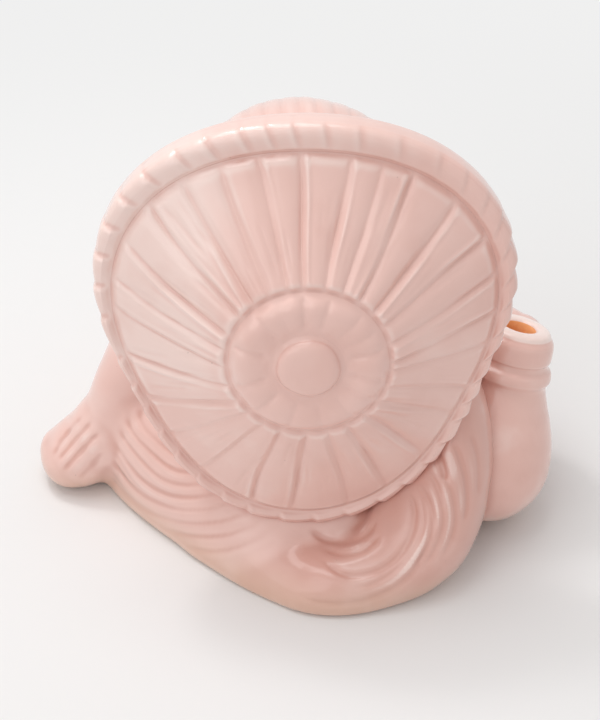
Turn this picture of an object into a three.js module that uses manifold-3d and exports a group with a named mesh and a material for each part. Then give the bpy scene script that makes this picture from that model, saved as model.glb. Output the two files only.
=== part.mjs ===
// A seated tanuki in glazed ceramic, with a straw hat slung on its back and a flask at its side.
// Millimetres, +Z up. The animal faces -Y, its hat and tail are at +Y, and its left side is at +X.
// Every piece is formed by itself and luted to its neighbours, so each one is cut to seat on the last.
import * as THREE from "three";
import { mergeVertices } from "three/addons/utils/BufferGeometryUtils.js";
import Module from "manifold-3d";

const wasm = await Module();
wasm.setup();

// Fits
const CLEARANCE = 0.3;

// Body: a hollow casting, as stations from the foot up to the neck
const BODY_WALL = 5.5;
const BODY_HEIGHTS = [0, 9, 20, 34, 48, 61, 71, 77];
const BODY_HALF_WIDTHS = [35, 38, 38.5, 38, 35, 30.5, 25, 15];
const BODY_FRONTS = [37, 44, 48, 48, 43, 34, 25, 14];
const BODY_BACKS = [37, 37, 28.5, 28.5, 29.5, 28, 22, 10];
const BODY_SQUARENESS = 2.3;
const DRAIN_RADIUS = 7;
const DRAIN_Y = 15;

// Head, and its features. Each sits on the skin of what carries it: turned from the front in degrees,
// raised from the middle in degrees, and stood off the skin or sunk into it.
const HEAD_CENTRE = [0, -5, 97];
const HEAD_HALF = [32, 29, 29];
const EAR_SEAT = { turn: 87, rise: 29, stand: -4.4 };
const EAR_HALF = [8.5, 4.5, 10];
const EAR_LEAN = 35;
const MUZZLE_SEAT = { turn: 0, rise: -14, stand: 0 };
const MUZZLE_HALF = [14.5, 15, 11.5];
const NOSE_SEAT = { turn: 0, rise: 20, stand: 0.4 };
const NOSE_HALF = [4.8, 3.4, 3.8];
const EYE_SEAT = { turn: 22.7, rise: 9, stand: -0.5 };
const EYE_HALF = [4.4, 3.4, 4.8];

// Haunches and feet
const LEFT_HAUNCH_CENTRE = [25.5, 2.5, 7];
const LEFT_HAUNCH_HALF = [43.5, 26.3, 31];
const LEFT_HAUNCH_TURN = 135;
const LEFT_HAUNCH_LEAN = 16;
const RIGHT_HAUNCH_CENTRE = [-25, -16, 7];
const RIGHT_HAUNCH_HALF = [31, 24, 30];
const RIGHT_HAUNCH_TURN = 60;
const HAUNCH_SQUARENESS = 2.5;
const FOOT_HEEL = [21, -38, 9];
const FOOT_TOE = [26, -53, 9];
const FOOT_RADII = [10, 11, 10];

// Tail: a fat roll that comes down from under the hat and lies round the back of the base
const TAIL_SPINE = [
  [-34, 10, 58],
  [-39.5, 17, 44],
  [-38.8, 25.4, 28],
  [-33, 36.8, 13.4],
  [-19.5, 44, 5.4],
  [-5, 46, 2.5],
  [11, 44.2, 1],
];
const TAIL_RADII = [10, 13, 15.6, 15.6, 12.2, 10.3, 7];

// Arms: the left one props the animal up, the right one holds the flask
const LEFT_ARM_SPINE = [
  [31, -7.5, 63],
  [46, -5, 43.5],
  [54, -3.5, 27.5],
  [58, -2.8, 20],
];
const LEFT_ARM_RADII = [11, 11.5, 10, 9];
const RIGHT_ARM_SPINE = [
  [-29, -7, 64],
  [-46, -16, 53],
  [-54, -18, 46],
];
const RIGHT_ARM_RADII = [11, 11, 8.8];

// Paws: the palm is measured from the wrist, and the knuckles and finger tips from the palm
const PALM_RADIUS = 8.2;
const FINGER_RADIUS = 5.6;
const KNUCKLE_RADIUS = 6.8;
const LEFT_PALM_SET = [6.5, 1.3, -9];
const LEFT_FINGERS = [
  { knuckle: [-4.5, -4.5, 8.5], tip: [8.4, -6, -2.6] },
  { knuckle: [-3.5, -1, 7.5], tip: [8.2, -1.5, -3.6] },
  { knuckle: [-4.5, 2.5, 5], tip: [5.6, 3, -3.8] },
];
const RIGHT_PALM_SET = [-3, 3, -1];
const RIGHT_FINGERS = [
  { knuckle: [-2.7, 1.5, 1.4], tip: [-8, 5, 4.2] },
  { knuckle: [-3, 1.5, -0.3], tip: [-9, 5, -1] },
  { knuckle: [-2.5, 1.5, -2], tip: [-7.5, 5, -6.2] },
];

// Flask: a turned bottle that leans outward, as heights along its axis and radii
const FLASK_CENTRE = [-54.3, 9.5, 22.3];
const FLASK_AXIS = [-0.214, -0.25, 0.944];
const FLASK_FOOT = -20;
const FLASK_FOOT_RADIUS = 8;
const FLASK_BELLY = [
  [-18, 12.6],
  [-14.5, 16],
  [-9, 18.8],
  [-3, 19.7],
  [4, 18.8],
  [11, 16.6],
  [17, 14],
  [21.5, 12.2],
];
const FLASK_RING = [
  [23.5, 11.9],
  [25.2, 12.6],
  [27.3, 12.2],
  [28.6, 11],
];
const FLASK_COLLAR = [
  [30, 10.7],
  [31.2, 11.2],
  [35.4, 10.8],
  [37.4, 9.6],
];
const FLASK_LIP = 38.5;
const FLASK_LIP_RADIUS = 7.2;
const FLASK_BORE_RADIUS = 4.8;
const FLASK_FLARE = 1;
const FLASK_WALL = 5.5;

// Hat: an egg-shaped cone of pleated straw. Seen square on, its rings are short series of waves.
const HAT_CENTRE = [-1.3, 30, 80];
const HAT_TILT = 7;
const HAT_BACK = -6;
const CROWN_SHIFT = [-0.9, 0, -1.3];
const RIM_WAVES = [56.65, 2.49, -3.51, 3.95];
const GROOVE_WAVES = [52, -0.4, -2.68, 3.37];
const RING_GROOVE_DEPTH = 1.2;
const RING_GROOVE_WIDTH = 1.6;
const PLEATS = 27;
const PLEAT_DEPTH = 1;
const PLEAT_HALF_WIDTH = 0.14;
const PLEAT_ROWS = [0, 0.05, 0.5, 0.96, 1];

// Crown of the hat, and the knob seated in it
const CROWN_RADIUS = 20.8;
const CROWN_HEIGHT = 15.2;
const CROWN_RISE = 2.4;
const CROWN_PLEATS = 14;
const CROWN_PLEAT_DEPTH = 0.9;
const KNOB_RADIUS = 8.9;
const KNOB_HEIGHT = 3.6;
const KNOB_SEAT = 1.2;
const KNOB_SQUARENESS = 3;

// Rim of the hat: a swollen band nicked by its binding. Shares are of the band's width.
const RIM_LEAST_BAND = 2.8;
const RIM_THICKNESS = 9.5;
const RIM_SWELL = 1;
const RIM_SWELL_SHARES = [0.2, 0.5];
const RIM_ROUNDING = 2.4;
const RIM_ROUNDING_SHARE = 0.4;
const RIM_NOTCHES = 40;
const RIM_NOTCH_DEPTH = 0.9;
const RIM_NOTCH_SHARE = 0.25;
const RIM_NOTCH_HALF_WIDTH = 0.2;
const RIM_NOTCH_SKEW = -0.05;

// Looks
const GLAZE = { color: 0xe2bdb2, roughness: 0.28, metalness: 0 };

const DEG = Math.PI / 180;

// A smooth value through evenly spaced stations, at t from 0 to 1
function along(values, t) {
  const place = t * (values.length - 1);
  const i = Math.min(Math.floor(place), values.length - 2);
  const f = place - i;
  const b = values[i];
  const c = values[i + 1];
  const a = values[i - 1] ?? 2 * b - c;
  const d = values[i + 2] ?? 2 * c - b;
  const bend = 2 * a - 5 * b + 4 * c - d;
  const twist = 3 * b - 3 * c + d - a;
  return b + 0.5 * f * (c - a + f * (bend + f * twist));
}

// The power of a cosine or sine that keeps its sign, for sections squarer than an ellipse
function squared(value, squareness) {
  return Math.sign(value) * Math.abs(value) ** (2 / squareness);
}

// A place measured from another, on the left side or mirrored to the right
function placed(from, offset, side = 1) {
  return [from[0] + side * offset[0], from[1] + offset[1], from[2] + offset[2]];
}

// A place on the skin of an egg that isn't turned, on the left side or mirrored to the right
function onSkin(centre, half, { turn, rise, stand }, side = 1) {
  const level = Math.cos(rise * DEG);
  const out = [side * Math.sin(turn * DEG) * level, -Math.cos(turn * DEG) * level, Math.sin(rise * DEG)];
  return centre.map((middle, i) => middle + out[i] * (half[i] + stand));
}

// A closed solid from a geometry, turned so that its faces point out
function solidOf(geometry) {
  geometry.deleteAttribute("normal");
  geometry.deleteAttribute("uv");
  const merged = mergeVertices(geometry, 1e-4);
  const vertProperties = Float32Array.from(merged.attributes.position.array);
  const triVerts = Uint32Array.from(merged.index.array);
  const made = new wasm.Manifold(new wasm.Mesh({ numProp: 3, vertProperties, triVerts }));
  if (made.volume() > 0) return made;
  return new wasm.Manifold(new wasm.Mesh({ numProp: 3, vertProperties, triVerts: triVerts.reverse() }));
}

// A skin over rings of points with as many points each: closed at two poles, or round onto itself
function skin(rings, poles) {
  const sides = rings[0].length;
  const points = rings.flat();
  const faces = [];
  const spans = poles ? rings.length - 1 : rings.length;
  for (let i = 0; i < spans; i++) {
    const next = (i + 1) % rings.length;
    for (let j = 0; j < sides; j++) {
      const k = (j + 1) % sides;
      const low = [i * sides + j, i * sides + k];
      const high = [next * sides + j, next * sides + k];
      faces.push(low[0], low[1], high[1], low[0], high[1], high[0]);
    }
  }
  if (poles) {
    const top = (rings.length - 1) * sides;
    for (let j = 0; j < sides; j++) {
      const k = (j + 1) % sides;
      faces.push(points.length, k, j, points.length + 1, top + j, top + k);
    }
    points.push(...poles);
  }
  const geometry = new THREE.BufferGeometry().setFromPoints(points);
  geometry.setIndex(faces);
  return solidOf(geometry);
}

// An egg: a ball with its own half sizes and squareness, leant over and turned about the vertical
function egg(centre, half, grow = 0, { turn = 0, lean = 0, squareness = 2, sides = 22, rows = 12 } = {}) {
  const ball = new THREE.SphereGeometry(1, sides, rows);
  const place = ball.attributes.position;
  for (let i = 0; i < place.count; i++) {
    const out = new THREE.Vector3().fromBufferAttribute(place, i);
    const reach = [out.x, out.y, out.z].reduce((sum, v) => sum + Math.abs(v) ** squareness, 0);
    out.multiplyScalar(reach ** (-1 / squareness));
    place.setXYZ(i, out.x * (half[0] + grow), out.y * (half[1] + grow), out.z * (half[2] + grow));
  }
  ball.rotateY(lean * DEG);
  ball.rotateZ(turn * DEG);
  ball.translate(...centre);
  return solidOf(ball);
}

// A limb: round sections along a smooth spine, with rounded ends
function limb(spine, radii, grow = 0, { sides = 14, steps = 9, rounds = 3 } = {}) {
  const curve = new THREE.CatmullRomCurve3(spine.map((p) => new THREE.Vector3(...p)));
  const frames = curve.computeFrenetFrames(steps, false);
  const rings = [];
  const ring = (i, radius, shift) => {
    const centre = curve.getPointAt(i / steps).addScaledVector(frames.tangents[i], shift);
    const section = [];
    for (let j = 0; j < sides; j++) {
      const turn = (j / sides) * 2 * Math.PI;
      const point = centre.clone();
      point.addScaledVector(frames.normals[i], radius * Math.cos(turn));
      point.addScaledVector(frames.binormals[i], radius * Math.sin(turn));
      section.push(point);
    }
    rings.push(section);
  };
  const first = radii[0] + grow;
  const last = radii.at(-1) + grow;
  for (let k = 1; k < rounds; k++) {
    const turn = (k / rounds) * (Math.PI / 2);
    ring(0, first * Math.sin(turn), -first * Math.cos(turn));
  }
  for (let i = 0; i <= steps; i++) ring(i, along(radii, i / steps) + grow, 0);
  for (let k = rounds - 1; k > 0; k--) {
    const turn = (k / rounds) * (Math.PI / 2);
    ring(steps, last * Math.sin(turn), last * Math.cos(turn));
  }
  const start = curve.getPointAt(0).addScaledVector(frames.tangents[0], -first);
  const end = curve.getPointAt(1).addScaledVector(frames.tangents[steps], last);
  return skin(rings, [start, end]);
}

// A piece cut to seat on its neighbours, with the crumbs that a cut leaves taken off
function seated(piece, ...neighbours) {
  const cut = neighbours.reduce((left, other) => left.subtract(other), piece);
  const bodies = cut.decompose();
  return bodies.reduce((largest, body) => (body.volume() > largest.volume() ? body : largest));
}

// Everything below the table that the figure stands on
function belowTable() {
  const reach = 400;
  const block = new THREE.BoxGeometry(reach, reach, reach);
  block.translate(0, 0, -reach / 2);
  return solidOf(block);
}

// Where along the body's stations a height falls, from 0 to 1
function stationOf(height) {
  let [low, high] = [0, 1];
  const halvings = 40;
  for (let i = 0; i < halvings; i++) {
    const middle = (low + high) / 2;
    if (along(BODY_HEIGHTS, middle) < height) low = middle;
    else high = middle;
  }
  return (low + high) / 2;
}

// Body: wide sections stacked from one height to another, deeper at the belly than at the back
function bodySkin(low, high, grow, { sides, rows }) {
  const rings = [];
  for (let i = 0; i <= rows; i++) {
    const height = low + ((high - low) * i) / rows;
    const place = stationOf(height);
    const section = [];
    for (let j = 0; j < sides; j++) {
      const turn = (j / sides) * 2 * Math.PI;
      const x = squared(Math.cos(turn), BODY_SQUARENESS);
      const y = squared(Math.sin(turn), BODY_SQUARENESS);
      const width = along(BODY_HALF_WIDTHS, place) + grow;
      const depth = along(y > 0 ? BODY_BACKS : BODY_FRONTS, place) + grow;
      section.push(new THREE.Vector3(x * width, y * depth, height));
    }
    rings.push(section);
  }
  return skin(rings, [new THREE.Vector3(0, 0, low), new THREE.Vector3(0, 0, high)]);
}

function bodyShape(grow) {
  return bodySkin(BODY_HEIGHTS[0] - grow, BODY_HEIGHTS.at(-1) + grow, grow, { sides: 34, rows: 11 });
}

// The hollow of the casting, and the hole that the slip is poured out of
function bodyHollow() {
  const [low, high] = [BODY_HEIGHTS[0] + BODY_WALL, BODY_HEIGHTS.at(-1) - BODY_WALL];
  const hole = new THREE.CylinderGeometry(DRAIN_RADIUS, DRAIN_RADIUS, 4 * BODY_WALL, 20);
  hole.rotateX(Math.PI / 2);
  hole.translate(0, DRAIN_Y, BODY_HEIGHTS[0]);
  return bodySkin(low, high, -BODY_WALL, { sides: 24, rows: 7 }).add(solidOf(hole));
}

// A paw: a palm at the wrist with three fingers pressed out of it
function paw(wrist, palmSet, fingers) {
  const palm = placed(wrist, palmSet);
  let shape = egg(palm, [PALM_RADIUS, PALM_RADIUS, PALM_RADIUS], 0, { sides: 14, rows: 8 });
  const radii = [KNUCKLE_RADIUS, FINGER_RADIUS];
  for (const { knuckle, tip } of fingers) {
    const spine = [placed(palm, knuckle), placed(palm, tip)];
    shape = shape.add(limb(spine, radii, 0, { sides: 10, steps: 2, rounds: 2 }));
  }
  return shape;
}

// A foot that points forward, sole down
function foot(side) {
  const middle = FOOT_HEEL.map((v, i) => (v + FOOT_TOE[i]) / 2);
  const spine = [FOOT_HEEL, middle, FOOT_TOE].map((p) => placed([0, 0, 0], p, side));
  return limb(spine, FOOT_RADII, 0, { sides: 14, steps: 5 });
}

// Flask: turned outside and bored inside, then leant over
function flaskShape(grow, bored) {
  const outside = [[FLASK_FOOT, FLASK_FOOT_RADIUS], ...FLASK_BELLY, ...FLASK_RING, ...FLASK_COLLAR];
  const profile = [new THREE.Vector2(0, FLASK_FOOT - grow)];
  for (const [height, radius] of outside) profile.push(new THREE.Vector2(radius + grow, height));
  profile[1].y -= grow;
  profile.push(new THREE.Vector2(FLASK_LIP_RADIUS + grow, FLASK_LIP + grow));
  if (bored) {
    const floor = FLASK_FOOT + FLASK_WALL;
    profile.push(new THREE.Vector2(FLASK_BORE_RADIUS + FLASK_FLARE, FLASK_LIP - FLASK_FLARE / 2));
    profile.push(new THREE.Vector2(FLASK_BORE_RADIUS, FLASK_LIP - 2 * FLASK_FLARE));
    for (const [height, radius] of [...FLASK_BELLY].reverse()) {
      if (height <= floor) continue;
      profile.push(new THREE.Vector2(Math.max(radius - FLASK_WALL, FLASK_BORE_RADIUS), height));
    }
    profile.push(new THREE.Vector2(FLASK_FOOT_RADIUS, floor), new THREE.Vector2(0, floor));
  } else {
    profile.push(new THREE.Vector2(0, FLASK_LIP + grow));
  }
  const bottle = new THREE.LatheGeometry(profile, 22);
  const upright = new THREE.Vector3(0, 1, 0);
  const axis = new THREE.Vector3(...FLASK_AXIS).normalize();
  bottle.applyQuaternion(new THREE.Quaternion().setFromUnitVectors(upright, axis));
  bottle.translate(...FLASK_CENTRE);
  return solidOf(bottle);
}

// The radius of a ring of the hat at an angle seen square on, counted from the animal's left
function wave([mean, tall, oval, three], turn) {
  return mean + tall * Math.sin(turn) + oval * Math.cos(2 * turn) + three * Math.sin(3 * turn);
}

function grooveRadius(turn) {
  return wave(GROOVE_WAVES, turn);
}

function rimRadius(turn) {
  return Math.max(wave(RIM_WAVES, turn), grooveRadius(turn) + RIM_LEAST_BAND);
}

// A point of the hat, from its angle, radius and height above the rim's plane
function hatPoint(turn, radius, height) {
  const point = new THREE.Vector3(radius * Math.cos(turn), height, radius * Math.sin(turn));
  point.applyAxisAngle(new THREE.Vector3(1, 0, 0), HAT_TILT * DEG);
  return point.add(new THREE.Vector3(...HAT_CENTRE));
}

// A point of the crown, which sits a little off the middle of the cone
function crownPoint(turn, radius, height) {
  return hatPoint(turn, radius, height).add(new THREE.Vector3(...CROWN_SHIFT));
}

// Angles round the hat that put a point in the bottom of each pleat and on its two banks
function pleatTurns(count, halfWidth) {
  const turns = [];
  for (let i = 0; i < count; i++) {
    turns.push({ turn: (i / count) * 2 * Math.PI, depth: 1 });
    turns.push({ turn: ((i + halfWidth) / count) * 2 * Math.PI, depth: 0 });
    turns.push({ turn: ((i + 1 - halfWidth) / count) * 2 * Math.PI, depth: 0 });
  }
  return turns;
}

// Even angles round the hat, for the room that its neighbours keep clear of
function evenTurns(count) {
  return Array.from({ length: count }, (_, i) => ({ turn: (i / count) * 2 * Math.PI, depth: 0 }));
}

// Cone of straw between the crown and the rim, pleated on top and flat beneath
function hatCone(turns, grow = 0) {
  const edges = [0, PLEAT_ROWS.length - 1];
  const rings = turns.map(({ turn, depth }) => {
    const inner = CROWN_RADIUS + CLEARANCE / 2 - grow;
    const outer = grooveRadius(turn) - CLEARANCE / 2 + grow;
    const section = PLEAT_ROWS.map((share, i) => {
      const low = edges.includes(i) ? RING_GROOVE_DEPTH : depth * PLEAT_DEPTH;
      const point = hatPoint(turn, inner + (outer - inner) * share, CROWN_HEIGHT * (1 - share) - low + grow);
      return point.addScaledVector(new THREE.Vector3(...CROWN_SHIFT), 1 - share);
    });
    section.push(hatPoint(turn, outer, HAT_BACK - grow), crownPoint(turn, inner, HAT_BACK - grow));
    return section;
  });
  return skin(rings);
}

// Crown: the disc in the middle of the cone, with short pleats and a seat for the knob
function hatCrown() {
  const top = CROWN_HEIGHT + CROWN_RISE;
  const outer = CROWN_RADIUS - CLEARANCE / 2;
  const seat = KNOB_RADIUS + CLEARANCE;
  const rings = [[], [], [], [], [], []];
  for (const { turn, depth } of pleatTurns(CROWN_PLEATS, PLEAT_HALF_WIDTH)) {
    const low = depth * CROWN_PLEAT_DEPTH;
    rings[0].push(crownPoint(turn, seat, top - KNOB_SEAT));
    rings[1].push(crownPoint(turn, seat, top));
    rings[2].push(crownPoint(turn, seat + RING_GROOVE_WIDTH, top - low));
    rings[3].push(crownPoint(turn, outer - RING_GROOVE_WIDTH, CROWN_HEIGHT - low));
    rings[4].push(crownPoint(turn, outer, CROWN_HEIGHT - RING_GROOVE_DEPTH));
    rings[5].push(crownPoint(turn, outer, HAT_BACK));
  }
  return skin(rings, [crownPoint(0, 0, top - KNOB_SEAT), crownPoint(0, 0, HAT_BACK)]);
}

// Knob: a low dome in the crown's seat
function hatKnob() {
  const foot = CROWN_HEIGHT + CROWN_RISE - KNOB_SEAT + CLEARANCE;
  const shoulder = foot + KNOB_SEAT;
  const [sides, steps] = [24, 5];
  const rings = [];
  const level = (radius, height) => {
    const turns = evenTurns(sides);
    rings.push(turns.map(({ turn }) => crownPoint(turn, radius, height)));
  };
  level(KNOB_RADIUS, foot);
  for (let i = 0; i < steps; i++) {
    const turn = (i / steps) * (Math.PI / 2);
    level(KNOB_RADIUS * squared(Math.cos(turn), KNOB_SQUARENESS), shoulder + KNOB_HEIGHT * Math.sin(turn));
  }
  return skin(rings, [crownPoint(0, 0, foot), crownPoint(0, 0, shoulder + KNOB_HEIGHT)]);
}

// Rim: the straw bound over the edge, nicked by the binding all the way round
function hatRim(turns, grow = 0) {
  const front = RIM_SWELL + grow;
  const back = RIM_SWELL - RIM_THICKNESS - grow;
  const [start, full] = RIM_SWELL_SHARES;
  const rings = turns.map(({ turn, depth }) => {
    const band = rimRadius(turn) - grooveRadius(turn);
    const inner = grooveRadius(turn) + CLEARANCE / 2 - grow;
    const outer = rimRadius(turn) + grow;
    const rounding = Math.min(RIM_ROUNDING, band * RIM_ROUNDING_SHARE);
    const nick = depth * Math.min(RIM_NOTCH_DEPTH, band * RIM_NOTCH_SHARE);
    const slant = turn + RIM_NOTCH_SKEW;
    return [
      hatPoint(turn, inner, grow - RING_GROOVE_DEPTH),
      hatPoint(turn, inner + band * start, front - RIM_SWELL / 2),
      hatPoint(turn, inner + band * full, front - nick),
      hatPoint(slant, outer - rounding / 3 - nick, front - (rounding * 2) / 3),
      hatPoint(slant, outer - nick, front - rounding * 1.5),
      hatPoint(slant, outer - nick / 2, back + rounding),
      hatPoint(turn, outer - rounding, back),
      hatPoint(turn, inner, back + rounding),
    ];
  });
  return skin(rings);
}

// Shapes of the pieces before they are cut
const headShape = (grow) => egg(HEAD_CENTRE, HEAD_HALF, grow, { sides: 24, rows: 14 });
const onHead = (seat, side) => onSkin(HEAD_CENTRE, HEAD_HALF, seat, side);
const muzzleCentre = onHead(MUZZLE_SEAT);
const noseCentre = onSkin(muzzleCentre, MUZZLE_HALF, NOSE_SEAT);
const muzzleShape = (grow) => egg(muzzleCentre, MUZZLE_HALF, grow, { sides: 18, rows: 10 });
const noseShape = egg(noseCentre, NOSE_HALF, 0, { sides: 14, rows: 8 });
const eyeShape = (side) => egg(onHead(EYE_SEAT, side), EYE_HALF, 0, { sides: 12, rows: 8 });
const earShape = (side) =>
  egg(onHead(EAR_SEAT, side), EAR_HALF, 0, { lean: side * EAR_LEAN, sides: 16, rows: 10 });
const leftHaunchShape = (grow) =>
  egg(LEFT_HAUNCH_CENTRE, LEFT_HAUNCH_HALF, grow, {
    turn: LEFT_HAUNCH_TURN,
    lean: LEFT_HAUNCH_LEAN,
    squareness: HAUNCH_SQUARENESS,
  });
const rightHaunchShape = (grow) =>
  egg(RIGHT_HAUNCH_CENTRE, RIGHT_HAUNCH_HALF, grow, {
    turn: RIGHT_HAUNCH_TURN,
    squareness: HAUNCH_SQUARENESS,
  });
const tailShape = limb(TAIL_SPINE, TAIL_RADII, 0, { sides: 18, steps: 15 });
const leftArmShape = (grow) => limb(LEFT_ARM_SPINE, LEFT_ARM_RADII, grow);
const rightArmShape = (grow) => limb(RIGHT_ARM_SPINE, RIGHT_ARM_RADII, grow);
const leftPawShape = paw(LEFT_ARM_SPINE.at(-1), LEFT_PALM_SET, LEFT_FINGERS);
const rightPawShape = paw(RIGHT_ARM_SPINE.at(-1), RIGHT_PALM_SET, RIGHT_FINGERS);

// Rooms: the space of a piece that its neighbours keep clear of
const ROOM_SIDES = 64;
const table = belowTable();
const bodyRoom = bodyShape(CLEARANCE);
const headRoom = headShape(CLEARANCE);
const muzzleRoom = muzzleShape(CLEARANCE);
const flaskRoom = flaskShape(CLEARANCE, false);
const leftHaunchRoom = leftHaunchShape(CLEARANCE);
const rightHaunchRoom = rightHaunchShape(CLEARANCE);
const leftArmRoom = leftArmShape(CLEARANCE);
const rightArmRoom = rightArmShape(CLEARANCE);
const hatRoom = hatRim(evenTurns(ROOM_SIDES), CLEARANCE).add(hatCone(evenTurns(ROOM_SIDES), CLEARANCE));

const pieces = {
  body: seated(bodyShape(0), flaskRoom, bodyHollow()),
  left_haunch: seated(leftHaunchShape(0), bodyRoom, hatRoom, table),
  right_haunch: seated(rightHaunchShape(0), bodyRoom, flaskRoom, leftHaunchRoom, table),
  left_foot: seated(foot(1), bodyRoom, leftHaunchRoom, rightHaunchRoom, table),
  right_foot: seated(foot(-1), bodyRoom, leftHaunchRoom, rightHaunchRoom, table),
  tail: seated(tailShape, bodyRoom, leftHaunchRoom, rightHaunchRoom, rightArmRoom, flaskRoom, hatRoom, table),
  head: seated(headShape(0), bodyRoom),
  muzzle: seated(muzzleShape(0), headRoom, bodyRoom),
  nose: seated(noseShape, muzzleRoom, headRoom),
  left_eye: seated(eyeShape(1), headRoom, muzzleRoom),
  right_eye: seated(eyeShape(-1), headRoom, muzzleRoom),
  left_ear: seated(earShape(1), headRoom, hatRoom),
  right_ear: seated(earShape(-1), headRoom, hatRoom),
  left_arm: seated(leftArmShape(0), bodyRoom, headRoom, leftHaunchRoom, hatRoom),
  left_paw: seated(leftPawShape, leftArmRoom, leftHaunchRoom, table),
  right_arm: seated(rightArmShape(0), bodyRoom, headRoom, rightHaunchRoom, flaskRoom, hatRoom),
  right_paw: seated(rightPawShape, rightArmRoom, flaskRoom, rightHaunchRoom, hatRoom),
  flask: flaskShape(0, true),
  hat_cone: seated(hatCone(pleatTurns(PLEATS, PLEAT_HALF_WIDTH)), bodyRoom, headRoom, flaskRoom),
  hat_rim: seated(hatRim(pleatTurns(RIM_NOTCHES, RIM_NOTCH_HALF_WIDTH)), bodyRoom, headRoom, flaskRoom),
  hat_crown: seated(hatCrown(), bodyRoom, headRoom),
  hat_knob: hatKnob(),
};

const group = new THREE.Group();
for (const [name, solid] of Object.entries(pieces)) {
  const { vertProperties, triVerts } = solid.getMesh();
  const geometry = new THREE.BufferGeometry();
  geometry.setAttribute("position", new THREE.BufferAttribute(vertProperties, 3));
  geometry.setIndex(new THREE.BufferAttribute(triVerts, 1));
  geometry.computeVertexNormals();
  const mesh = new THREE.Mesh(geometry, new THREE.MeshStandardMaterial(GLAZE));
  mesh.name = name;
  group.add(mesh);
}

export default group;
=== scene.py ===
# %% [markdown]
# # A seated tanuki in pink glaze
# The object is a ceramic ornament: a tanuki that sits with its back to us, a straw hat slung over its
# shoulders and an open flask under its arm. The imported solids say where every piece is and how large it
# is. This lesson gives each of them the soft, melted skin of glazed clay, the carving and the colour.

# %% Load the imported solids
import math

import bpy
import numpy as np
from mathutils import Matrix, Vector


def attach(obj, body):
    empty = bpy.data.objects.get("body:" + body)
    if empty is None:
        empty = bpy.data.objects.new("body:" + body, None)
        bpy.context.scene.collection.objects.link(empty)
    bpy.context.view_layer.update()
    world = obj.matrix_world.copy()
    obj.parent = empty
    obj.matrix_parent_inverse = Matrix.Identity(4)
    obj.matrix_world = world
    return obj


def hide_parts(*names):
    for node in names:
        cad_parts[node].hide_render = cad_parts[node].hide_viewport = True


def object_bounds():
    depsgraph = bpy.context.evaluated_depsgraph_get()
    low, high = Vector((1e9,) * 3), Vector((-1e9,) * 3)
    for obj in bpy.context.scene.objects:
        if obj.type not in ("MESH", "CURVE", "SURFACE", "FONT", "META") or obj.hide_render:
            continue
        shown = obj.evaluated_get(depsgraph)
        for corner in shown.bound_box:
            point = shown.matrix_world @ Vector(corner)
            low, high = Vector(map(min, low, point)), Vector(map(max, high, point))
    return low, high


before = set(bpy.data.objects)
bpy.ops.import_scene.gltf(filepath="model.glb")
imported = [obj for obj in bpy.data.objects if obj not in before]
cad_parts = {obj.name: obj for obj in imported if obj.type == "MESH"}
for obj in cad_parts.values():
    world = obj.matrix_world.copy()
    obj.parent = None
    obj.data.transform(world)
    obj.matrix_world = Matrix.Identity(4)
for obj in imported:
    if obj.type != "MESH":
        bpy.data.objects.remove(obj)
cad_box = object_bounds()
MM = 0.001
print("solids in the frame:", len(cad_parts))

# %% [markdown]
# ## The camera comes first
# A camera that stands where the photographer stood lets us judge each piece as soon as it exists. The
# flask's mouth and the hat's rings are round, so how flat they look gives the angle: 38 degrees above
# the table, with a long lens. The figure faces -Y, so the camera stands at +Y and looks back at it.

# %% Camera
CAMERA_PLACE = (0.0, 0.38688, 0.34915)
CAMERA_RISE = 38
CAMERA_LENS = 85
camera = bpy.data.objects.new("camera", bpy.data.cameras.new("camera"))
camera.data.lens = CAMERA_LENS
camera.location = CAMERA_PLACE
camera.rotation_euler = (math.radians(90 - CAMERA_RISE), 0, math.pi)
bpy.context.scene.collection.objects.link(camera)
bpy.context.scene.camera = camera
print("camera at", CAMERA_PLACE)

# %% [markdown]
# ## Clay as a field
# A potter presses soft pieces together and the joints melt into each other. Joined meshes would keep a
# hard crease there, and a voxel remesh would blur the small features along with the creases. So each
# piece is written as a field instead: a number at every point of space, negative inside the clay and
# zero on its skin. Two fields melt together with one line of arithmetic, as softly as we like.

# %% Fields for eggs, limbs and melted joints
FAR = 60.0
LIMB_REACH = 14.0


def melt(one, other, width):
    """The lower of two fields, rounded where they come within a width of each other."""
    near = np.maximum(width - np.abs(one - other), 0) / width
    return np.minimum(one, other) - near * near * width / 4


def between(value, low, high):
    """0 below low, 1 above high, and a soft step between them."""
    share = np.clip((value - low) / (high - low), 0, 1)
    return share * share * (3 - 2 * share)


def egg_field(points, centre, half, turn=0, lean=0, squareness=2):
    """A ball with its own half sizes, leant over, turned about the vertical, round or squarish."""
    turned = Matrix.Rotation(math.radians(turn), 3, "Z") @ Matrix.Rotation(math.radians(lean), 3, "Y")
    share = np.abs((points - centre) @ np.array(turned)) / half
    reach = np.maximum((share**squareness).sum(1), 1e-9) ** (1 / squareness)
    slope = ((share / reach[:, None]) ** (squareness - 1) / half) ** 2
    return (reach - 1) / np.sqrt(slope.sum(1))


def limb_field(points, spine, radii):
    """Round sections along a line of points, with round ends."""
    field = np.full(len(points), FAR)
    room = radii.max() + LIMB_REACH
    near = np.all((points > spine.min(0) - room) & (points < spine.max(0) + room), axis=1)
    close = points[near]
    best = np.full(len(close), FAR)
    for start, end, first, last in zip(spine[:-1], spine[1:], radii[:-1], radii[1:]):
        along = end - start
        share = np.clip((close - start) @ along / (along @ along), 0, 1)
        gap = np.linalg.norm(close - start - share[:, None] * along, axis=1)
        best = np.minimum(best, gap - first - share * (last - first))
    field[near] = best
    return field


print("fields ready")

# %% [markdown]
# ## Smooth runs
# The body's stations and the limbs' spines are short lists of points. A Catmull-Rom curve runs
# through every one of them without corners, so a handful of numbers gives a long smooth form.

# %% Smooth runs through a few stations


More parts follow.
